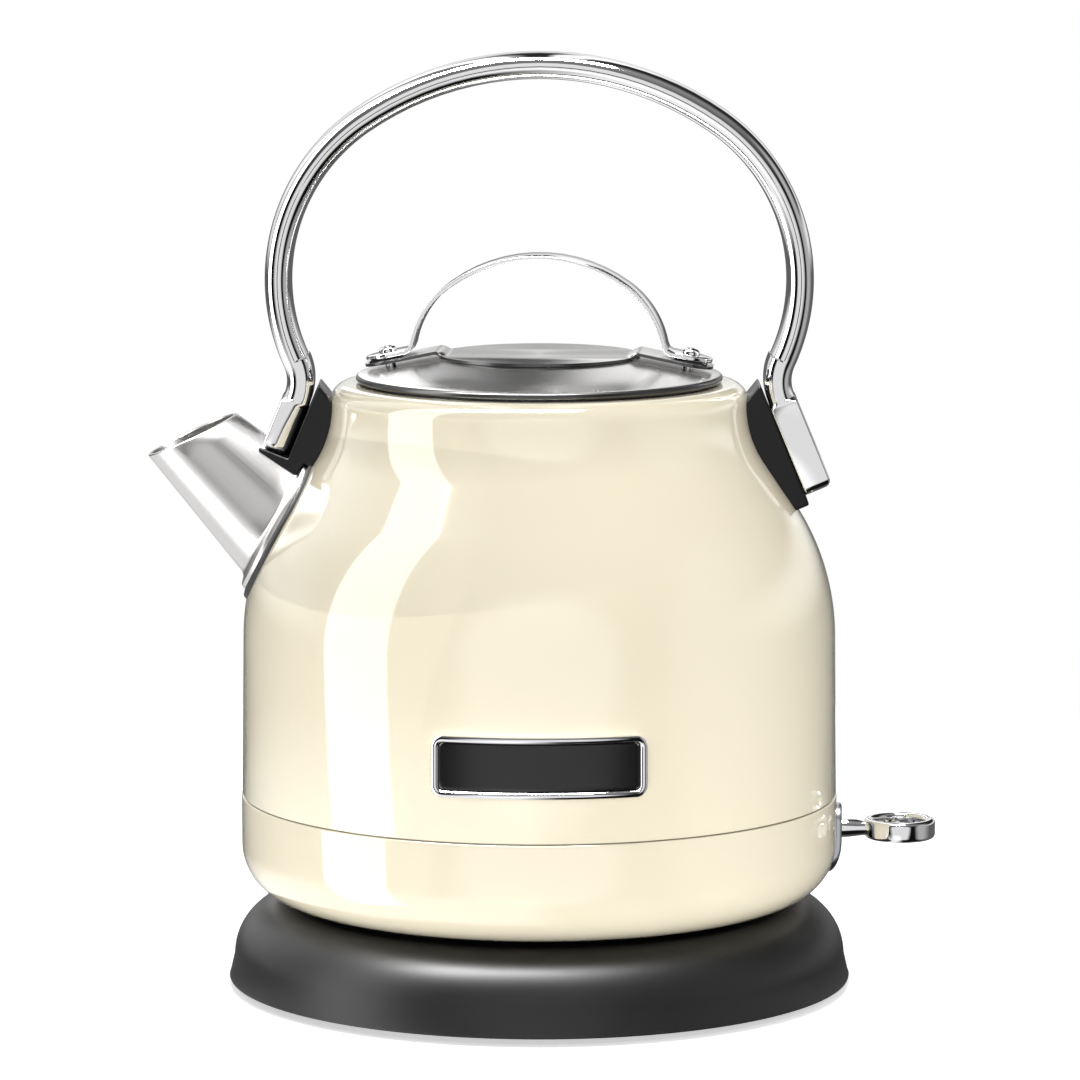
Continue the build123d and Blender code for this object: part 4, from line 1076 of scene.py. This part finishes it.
class KETTLE_OT_handle(bpy.types.Operator):
    """Bend the two halves of the hoop handle, with its shoes"""
    bl_idname = "kettle.handle"
    bl_label = "Handle"

    def execute(self, context):
        crown = context.scene.kettle_shapes.bar_crown / MM
        high = BAR_HALF - crown - 0.03
        half_width, outer_edge, parting_edge, bend_edge = 9.0, 3.1, 0.3, 2.4
        half_bar = bar_section(GAP, high, half_width, outer_edge, parting_edge, crown)
        full_bar = bar_section(-BAR_HALF, high, half_width, outer_edge, bend_edge, crown)
        arch = arch_stations(BAR_SIDE, BAR_RISE, BAR_END, 44)
        rings = self.shoe_rings(1)[::-1]
        rings += [bar_ring(*s, full_bar) for s in bend_stations(10)[::-1]]
        rings += [bar_ring(*s, half_bar) for s in arch]
        rings += [bar_ring(*self.mirrored(s), full_bar) for s in bend_stations(10)]
        rings += self.shoe_rings(-1)
        outer = loft("handle_hoop", rings)
        combine(outer, spout_cone_tool(0.35, -10, 60), "DIFFERENCE")
        finish_piece(outer, MATERIALS["Chrome"], "kettle", ["handle_outer"])
        under = [(y, -out) for y, out in half_bar]
        inner_arch = arch_stations(BAR_SIDE, BAR_RISE, BAR_END - 0.5, 44)
        inner = loft("handle_liner", [bar_ring(*s, under) for s in inner_arch])
        finish_piece(inner, MATERIALS["Chrome"], "kettle", ["handle_inner"])
        return {"FINISHED"}

    @staticmethod
    def mirrored(station):
        (x, z), (way_x, way_z) = station
        return (-x, z), (-way_x, way_z)

    @staticmethod
    def shoe_rings(side):
        """Sections down a shoe: flat-sided, with its outer foot corner rounded."""
        shoe = SHOES[side]
        half, outer, inner = 9.5, 0.6, 5.2 if side < 0 else 0.6
        corner = 2.2
        rings = []
        for along in (1.2, shoe * 0.5, shoe - corner):
            section = bar_section(-SHOE_HALF, SHOE_HALF, half, outer, inner, 0.0)
            rings.append(bar_ring(*shoe_station(along, side), section))
        for k in range(1, 6):
            a = math.radians(90 * k / 5)
            drop = corner * (1 - math.cos(a)) * 0.9
            section = bar_section(
                -SHOE_HALF, SHOE_HALF - drop, half - drop, outer, inner, 0.0
            )
            along = shoe - corner + corner * math.sin(a)
            rings.append(bar_ring(*shoe_station(along, side), section))
        return rings


def body_tool(offset):
    """The filled body, offset outwards, to cut other pieces with."""
    outline = body_outline(-offset, SEAM + 1)
    outline = [(0, SEAM + 1)] + outline + [(0, outline[-1][1])]
    return lathe("tool", outline, 192)


class KETTLE_OT_mounts(bpy.types.Operator):
    """Shape the two black blocks under the handle's shoes"""
    bl_idname = "kettle.mounts"
    bl_label = "Handle mounts"

    def execute(self, context):
        edge = context.scene.kettle_shapes.moulded_edge
        out = -SHOE_HALF - GAP
        apex, heel, depth = -6.1, 8.0, 26.0    # slanted top, and how deep to the body
        foot, overlap = 7.2, 2.6               # how far each block passes its shoe
        half_width = 9.3
        for side, name, node in (
            (-1, "spout_side_mount", "front_mount"), (1, "lever_side_mount", "rear_mount")
        ):
            low = SHOES[side] + (foot if side < 0 else overlap)
            corners = [(apex, out)]
            if side < 0:
                edge_low, step = SHOES[side] + 0.3, SHOE_HALF + 0.6
                corners += [(edge_low, out), (edge_low, step), (low, step)]
            else:
                corners.append((low, out))
            corners += [(low, out - depth), (heel, out - depth)]
            outline = [shoe_flat(side, *c) for c in corners]
            piece = prism(name, outline, -half_width, half_width)
            round_edges(piece, edge, 4)
            combine(piece, body_tool(GAP), "DIFFERENCE")
            neck = [(0, 100), (NECK_RADIUS - 1, 100), (NECK_RADIUS - 1, 190), (0, 190)]
            combine(piece, lathe("tool", neck, 128), "DIFFERENCE")
            if side < 0:
                combine(piece, spout_cone_tool(0.25, -10, 60), "DIFFERENCE")
                collar = spout_cone_tool(3.4, 20, 62)
                combine(collar, body_tool(2.4), "INTERSECT")
                combine(piece, collar, "DIFFERENCE")
            finish_piece(piece, MATERIALS["Mount plastic"], "kettle", [node])
        return {"FINISHED"}


FRONT = -math.pi / 2
BADGE = (27.25, 62.1, 77.7, 3.0)


class KETTLE_OT_badge(bpy.types.Operator):
    """Shape the badge's chrome frame and its plain black plate"""
    bl_idname = "kettle.badge"
    bl_label = "Badge"

    def execute(self, context):
        rows = (
            (0.0, GAP), (0.0, 0.95), (0.12, 1.25), (0.4, 1.44), (0.8, 1.5),
            (1.2, 1.44), (1.55, 1.2), (1.75, 0.85), (1.9, 0.6), (1.9, GAP),
        )
        rings = [self.outline(inset, proud) for inset, proud in rows]
        rim = loft("badge_rim", rings, looped=True)
        finish_piece(rim, MATERIALS["Chrome"], "kettle", ["badge_frame"])
        bpy.ops.mesh.primitive_grid_add(x_subdivisions=44, y_subdivisions=12, size=2)
        field = context.object
        field.name = field.data.name = "badge_field"
        half, tall, corner = BADGE[0] - 1.96, (BADGE[2] - BADGE[1]) / 2 - 1.96, 1.15
        middle = (BADGE[1] + BADGE[2]) / 2
        for vertex in field.data.vertices:
            u, v = vertex.co.x, vertex.co.y
            over = max(0.0, abs(v) * tall - (tall - corner))
            reach = half - corner + math.sqrt(max(0.0, corner**2 - over**2))
            vertex.co = wall_point(
                u * reach, middle + v * tall, 0.9, FRONT, body_radius_at
            )
        modify(field, "SOLIDIFY", thickness=0.84 * MM, offset=-1.0)
        round_edges(field, 0.12 * MM, 2, 50)
        finish_piece(field, MATERIALS["Badge black"], "kettle", ["badge_plate"])
        return {"FINISHED"}

    @staticmethod
    def outline(inset, proud):
        """The frame's outline on the wall, drawn in and stood out by so much."""
        half, low, high, corner = BADGE
        window = window_outline(
            half - inset, low + inset, high - inset, corner - inset, 6, 24, 7
        )
        return [wall_point(u, z, proud, FRONT, body_radius_at) for u, z in window]


class KETTLE_OT_lever(bpy.types.Operator):
    """Shape the switch lever's ring, stem and arm, and its slotted plate"""
    bl_idname = "kettle.lever"
    bl_label = "Switch lever"

    def execute(self, context):
        self.lever(context)
        self.plate()
        return {"FINISHED"}

    def lever(self, context):
        z = LEVER_HEIGHT
        hole, ring, half, corner = 6.7, 9.3, 2.6, 1.1
        section = rounded([
            (hole, z - half, corner), (ring, z - half, corner),
            (ring, z + half, corner), (hole, z + half, corner),
        ], 5)
        loop = lathe("lever_ring", section, 96)
        turn_mesh(loop, Matrix.Translation(Vector((RING_X * MM, 0, 0))))
        rows = (
            (74.7, 2.65), (79.2, 2.6), (81.0, 2.5), (83.0, 2.25), (84.8, 2.05),
            (86.3, 2.0),
        )
        rings = []
        for x, radius in rows:
            rings.append([
                Vector((x, radius * math.cos(t), z + radius * math.sin(t))) * MM
                for t in (math.tau * i / 48 for i in range(48))
            ])
        stem = loft("lever_stem", rings)
        combine(loop, stem, "UNION")
        shank = prism("lever_shank", [
            (LEVER_PIVOT, z - 2), (75.5, z - 2), (75.5, z + 2), (LEVER_PIVOT, z + 2)
        ], -2.2, 2.2)
        combine(loop, shank, "UNION")
        arm = rounded([
            (50.2, z - 1.2, 0.3), (59.0, z - 1.2, 0), (59.0, z + 0.8, 0), (50.2, z + 0.8, 0.3)
        ])
        combine(loop, prism("lever_arm", arm, -2.9, 2.9), "UNION")
        for radius, half, operation in ((3.4, 2.9, "UNION"), (1.55, 10, "DIFFERENCE")):
            bpy.ops.mesh.primitive_cylinder_add(
                vertices=48, radius=radius * MM, depth=2 * half * MM,
                location=Vector((LEVER_PIVOT, 0, z)) * MM, rotation=(math.radians(90), 0, 0),
            )
            combine(loop, context.object, operation)
        finish_piece(loop, MATERIALS["Chrome"], "lever", ["switch_lever"], angle=40)

    def plate(self):
        def outline(half, low, high, corner, inset, proud):
            window = window_outline(
                half - inset, low + inset, high - inset, corner - inset, 8, 1, 8
            )
            return [wall_point(u, z, proud, 0.0, housing_radius_at) for u, z in window]

        edge = (5.6, 29.0, 47.0, 4.8)
        hole = (3.25, 31.0, 43.75, 3.1)
        rows = [(edge, 0, GAP), (edge, 0, 1.0), (edge, 0.15, 1.28), (edge, 0.45, 1.4)]
        rows += [(hole, -0.25, 1.4), (hole, -0.06, 1.3), (hole, 0, 1.1), (hole, 0, GAP)]
        rings = [outline(*shape, inset, proud) for shape, inset, proud in rows]
        plate = loft("lever_escutcheon", rings, looped=True)
        finish_piece(plate, MATERIALS["Plate satin"], "kettle", ["lever_plate"])


def bevel_slope():
    run, fall = LID_RADIUS - 1.0 - DISC_RADIUS, DISC_TOP - (LID_LOW + 1.0)
    return math.atan2(fall, run) - math.asin(1.0 / math.hypot(run, fall))


def bevel_height(x):
    return DISC_TOP - (x - DISC_RADIUS) * math.tan(bevel_slope())


def above_bevel(x, distance):
    slope = bevel_slope()
    return (x + distance * math.sin(slope), bevel_height(x) + distance * math.cos(slope))


class KETTLE_OT_lid_cover(bpy.types.Operator):
    """Turn the lid's bevelled cover with its rolled rim"""
    bl_idname = "kettle.lid_cover"
    bl_label = "Lid cover"

    def execute(self, context):
        shapes = context.scene.kettle_shapes
        crown = shapes.bevel_crown / MM
        roll = 1.0
        centre = (LID_RADIUS - roll, LID_LOW + roll)
        sunk = DISC_TOP - 0.85
        slope = math.degrees(bevel_slope())
        start, end = (DISC_RADIUS + GAP, DISC_TOP), polar(centre, roll, 90 - slope)
        path = [(0, sunk), (start[0], sunk), (start[0], DISC_TOP - 0.1)]
        for i in range(1, 14):
            t = i / 14
            lift = crown * 4 * t * (1 - t) * 0.5
            path.append((
                start[0] + (end[0] - start[0]) * t + lift * math.sin(math.radians(slope)),
                start[1] + (end[1] - start[1]) * t + lift * math.cos(math.radians(slope)) - 0.03,
            ))
        path += arc(centre, roll, 90 - slope, -90, 10)
        path += [(centre[0], LID_LOW + 0.8), (27.05, sunk - 0.8), (0, sunk - 0.8)]
        piece = lathe("lid_cover", path, shapes.steps)
        finish_lid_piece(piece, MATERIALS["Lid steel"], "lid_shell")
        # The rolled rim's lower part gets the near-black finish: painted shade under the lid's
        # rim.
        assign(piece, MATERIALS["Painted edge shade"], self.is_rim_in_shade)
        return {"FINISHED"}

    # Faces of the rim's lower roll, which get the painted shade.
    @staticmethod
    def is_rim_in_shade(place, normal):
        return math.hypot(place.x, place.y) > LID_RADIUS - 0.8 and place.z < LID_LOW + 1.85


class KETTLE_OT_lid_plate(bpy.types.Operator):
    """Press the lid's disc with two ears that step up and run down the bevel"""
    bl_idname = "kettle.lid_plate"
    bl_label = "Lid plate"

    def execute(self, context):
        shapes = context.scene.kettle_shapes
        half, reach, end_corner = 8.5, 45.0, 7.1
        meet = math.degrees(math.asin((half + 1.6) / DISC_RADIUS))
        fillet_x = DISC_RADIUS * math.cos(math.radians(meet)) + 1.6
        quarter = [(fillet_x, half)]
        quarter += [(fillet_x + 1 + 2.2 * i, half) for i in range(5)]
        quarter += arc((reach - end_corner, half - end_corner), end_corner, 90, 0, 8)
        corner = [
            (fillet_x - 0.55, half + 0.25), (fillet_x - 1.1, half + 0.75)
        ]
        right = [(x, z) for x, z in quarter[::-1]] + corner
        right += arc((0, 0), DISC_RADIUS, meet + 0.6, 90, 26)
        upper = right + [(-x, z) for x, z in right[::-1]][1:]
        outline = upper + [(x, -z) for x, z in upper[::-1]]
        points = [Vector((x, y, DISC_TOP)) * MM for x, y in outline]
        piece = first_point("lid_disc", points[0])
        draw_on(points)
        bpy.ops.mesh.select_all(action="SELECT")
        bpy.ops.mesh.remove_doubles(threshold=0.002 * MM)
        bpy.ops.mesh.edge_face_add()
        joggle = shapes.joggle / MM
        cuts = [23.0 + joggle * i / 8 for i in range(9)] + [30.0, 34.0, 38.0, 41.0, 43.5]
        for x in cuts:
            for side in (-1, 1):
                self.bisect((side * x, 0, 0), (1, 0, 0))
        for y in (4.0, 8.0, 8.5, 9.2):
            for side in (-1, 1):
                self.bisect((0, side * y, 0), (0, 1, 0))
        bpy.ops.object.mode_set(mode="OBJECT")
        for vertex in piece.data.vertices:
            vertex.co.z = self.height(vertex.co.x / MM, vertex.co.y / MM, joggle) * MM
        modify(piece, "SOLIDIFY", thickness=0.8 * MM, offset=-1.0, use_even_offset=True)
        round_edges(piece, 0.2 * MM, 2, 50)
        finish_lid_piece(piece, MATERIALS["Lid steel"], "lid_top_plate")
        # The plate's side faces get the near-black finish: painted shade along its edges.
        assign(piece, MATERIALS["Painted edge shade"], lambda place, normal: abs(normal.z) < 0.72)
        return {"FINISHED"}

    @staticmethod
    def bisect(place, normal):
        bpy.ops.mesh.select_all(action="SELECT")
        bpy.ops.mesh.bisect(plane_co=Vector(place) * MM, plane_no=normal)

    @staticmethod
    def height(x, y, joggle):
        x = abs(x)
        if x <= 23.0:
            return DISC_TOP
        ear = above_bevel(x, 1.2)[1] + 0.24 * math.sin(bevel_slope())
        t = min(1.0, (x - 23.0) / joggle)
        blend = t * t * (3 - 2 * t)
        side = min(1.0, max(0.0, (9.6 - abs(y)) / 1.4))
        return DISC_TOP + (ear - DISC_TOP) * blend * (side if x < DISC_RADIUS else 1.0)


class KETTLE_OT_lid_strap(bpy.types.Operator):
    """Bend the lid's strap, and set its pads and screws"""
    bl_idname = "kettle.lid_strap"
    bl_label = "Lid strap"

    def execute(self, context):
        shapes = context.scene.kettle_shapes
        self.strap(shapes)
        self.pads()
        self.screws()
        return {"FINISHED"}

    def strap(self, shapes):
        offset, centre_z, radius = STRAP_SIDE
        tilt = math.degrees(bevel_slope())
        lift = STRAP_STACK + STRAP_THICKNESS / 2
        rise = (
            bevel_height(offset) + lift / math.cos(math.radians(tilt)) - centre_z
        ) * math.cos(math.radians(tilt))
        bend = math.degrees(math.asin(rise / radius)) - tilt
        middle = STRAP_THICKNESS / 2
        hoop = arch_stations(STRAP_SIDE, STRAP_RISE, -bend - 4, 26)
        path = [place for place, _ in hoop]
        ends = [
            above_bevel(STRAP_SCREW + x, STRAP_STACK + middle)
            for x in (5.6, 4.4, 2.6, 0.0, -3.0, -5.0)
        ]
        knee = [
            ((ends[-1][0] + path[0][0]) / 2 - 0.25, (ends[-1][1] + path[0][1]) / 2 - 0.3)
        ]
        right = ends + knee
        centre_line = right + path + [(-x, z) for x, z in right[::-1]]
        widths = []
        for x, _ in centre_line:
            over = max(0.0, abs(x) - (STRAP_SCREW + 5.6 - 5.0))
            widths.append(6.25 - 5.0 + math.sqrt(max(0.05, 25.0 - min(over, 5.0) ** 2)))
        rings = []
        for i, (x, z) in enumerate(centre_line):
            a = Vector(centre_line[max(0, i - 1)])
            b = Vector(centre_line[min(len(centre_line) - 1, i + 1)])
            along = (b - a).normalized()
            outward = Vector((along.y, -along.x))
            rings.append((x, z, outward, widths[i]))
        row = []
        edge = shapes.fine_edge / MM
        for x, z, outward, half in rings:
            section = []
            for y, out, start in (
                (edge - half, middle - edge, 180), (half - edge, middle - edge, 90),
                (half - edge, edge - middle, 0), (edge - half, edge - middle, -90),
            ):
                section += arc((y, out), edge, start, start - 90, 3)
            row.append(bar_ring((x, z), tuple(outward), section))
        piece = loft("lid_strap_strip", row)
        finish_lid_piece(piece, MATERIALS["Chrome"], "lid_strap")

    def pads(self):
        made = []
        low, high = 1.2 + GAP, STRAP_STACK - GAP
        for sign in (-1, 1):
            ends = (STRAP_SCREW - 3.8, STRAP_SCREW + 4.6)
            corners = [(ends[0], low), (ends[1], low), (ends[1], high), (ends[0], high)]
            outline = [(sign * above_bevel(*c)[0], above_bevel(*c)[1]) for c in corners]
            pad = prism("lid_pad", outline, -5.5, 5.5)
            round_edges(pad, 0.3 * MM, 2, 50)
            made.append(pad)
        piece = join(made)
        piece.name = piece.data.name = "lid_spacers"
        finish_lid_piece(piece, MATERIALS["Mount plastic"], "lid_pads")

    def screws(self):
        outline = [(0, 1.5), (0.9, 1.47), (1.5, 1.33), (1.95, 1.05), (2.2, 0.7)]
        outline += [(2.3, 0.35), (2.3, 0.0), (1.4, 0.0), (1.4, -4.0), (0, -4.0)]
        head = lathe("lid_screw", outline, 48)
        for turn in (0, 90):
            bpy.ops.mesh.primitive_cube_add(size=MM, location=(0, 0, 1.35 * MM))
            slot = bpy.context.object
            size = (0.55, 2.6, 1.0) if turn else (2.6, 0.55, 1.0)
            bpy.ops.transform.resize(value=size)
            bpy.ops.object.transform_apply(location=False, rotation=False, scale=True)
            combine(head, slot, "DIFFERENCE")
        made = []
        tilt = bevel_slope()
        for sign in (-1, 1):
            x, z = above_bevel(STRAP_SCREW, STRAP_STACK + STRAP_THICKNESS + GAP)
            place = Matrix.Translation(Vector((sign * x, 0, z)) * MM)
            lean = Matrix.Rotation(sign * tilt, 4, "Y")
            own = Matrix.Rotation(math.radians(28 * sign), 4, "Z")
            made.append(copy_of(head, "lid_screw_copy", place @ lean @ own))
        bpy.data.objects.remove(head)
        piece = join(made)
        piece.name = piece.data.name = "lid_strap_screws"
        finish_lid_piece(piece, MATERIALS["Chrome"], "lid_screws")


class KETTLE_OT_frame_finishes(bpy.types.Operator):
    """Give the frame's own nodes their finishes"""
    bl_idname = "kettle.frame_finishes"
    bl_label = "Inner finishes"

    def execute(self, context):
        for material, nodes in CAD_FINISHES.items():
            for name in nodes:
                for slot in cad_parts[name].material_slots:
                    slot.material = MATERIALS[material]
        return {"FINISHED"}


OPERATORS = (
    KETTLE_OT_stage, KETTLE_OT_base, KETTLE_OT_body, KETTLE_OT_housing,
    KETTLE_OT_spout, KETTLE_OT_handle, KETTLE_OT_mounts, KETTLE_OT_badge,
    KETTLE_OT_lever, KETTLE_OT_lid_cover, KETTLE_OT_lid_plate, KETTLE_OT_lid_strap,
    KETTLE_OT_frame_finishes,
)


class KETTLE_PT_pieces(bpy.types.Panel):
    """Lists the kettle's settings and its pieces"""
    bl_idname = "KETTLE_PT_pieces"
    bl_label = "Kettle"
    bl_space_type = "VIEW_3D"
    bl_region_type = "UI"
    bl_category = "Kettle"

    def draw(self, context):
        for settings in (context.scene.kettle_shapes, context.scene.kettle_finishes):
            box = self.layout.box()
            for name in settings.__annotations__:
                box.prop(settings, name)
        for operator in OPERATORS:
            self.layout.operator(operator.bl_idname)


CLASSES = (KettleShapes, KettleFinishes, *OPERATORS, KETTLE_PT_pieces)


def register():
    for cls in CLASSES:
        bpy.utils.register_class(cls)
    bpy.types.Scene.kettle_shapes = bpy.props.PointerProperty(type=KettleShapes)
    bpy.types.Scene.kettle_finishes = bpy.props.PointerProperty(type=KettleFinishes)


def unregister():
    del bpy.types.Scene.kettle_finishes
    del bpy.types.Scene.kettle_shapes
    for cls in reversed(CLASSES):
        bpy.utils.unregister_class(cls)


def main():
    register()
    make_materials()
    for operator in OPERATORS:
        group, name = operator.bl_idname.split(".")
        getattr(getattr(bpy.ops, group), name)()


if __name__ == "__main__":
    main()
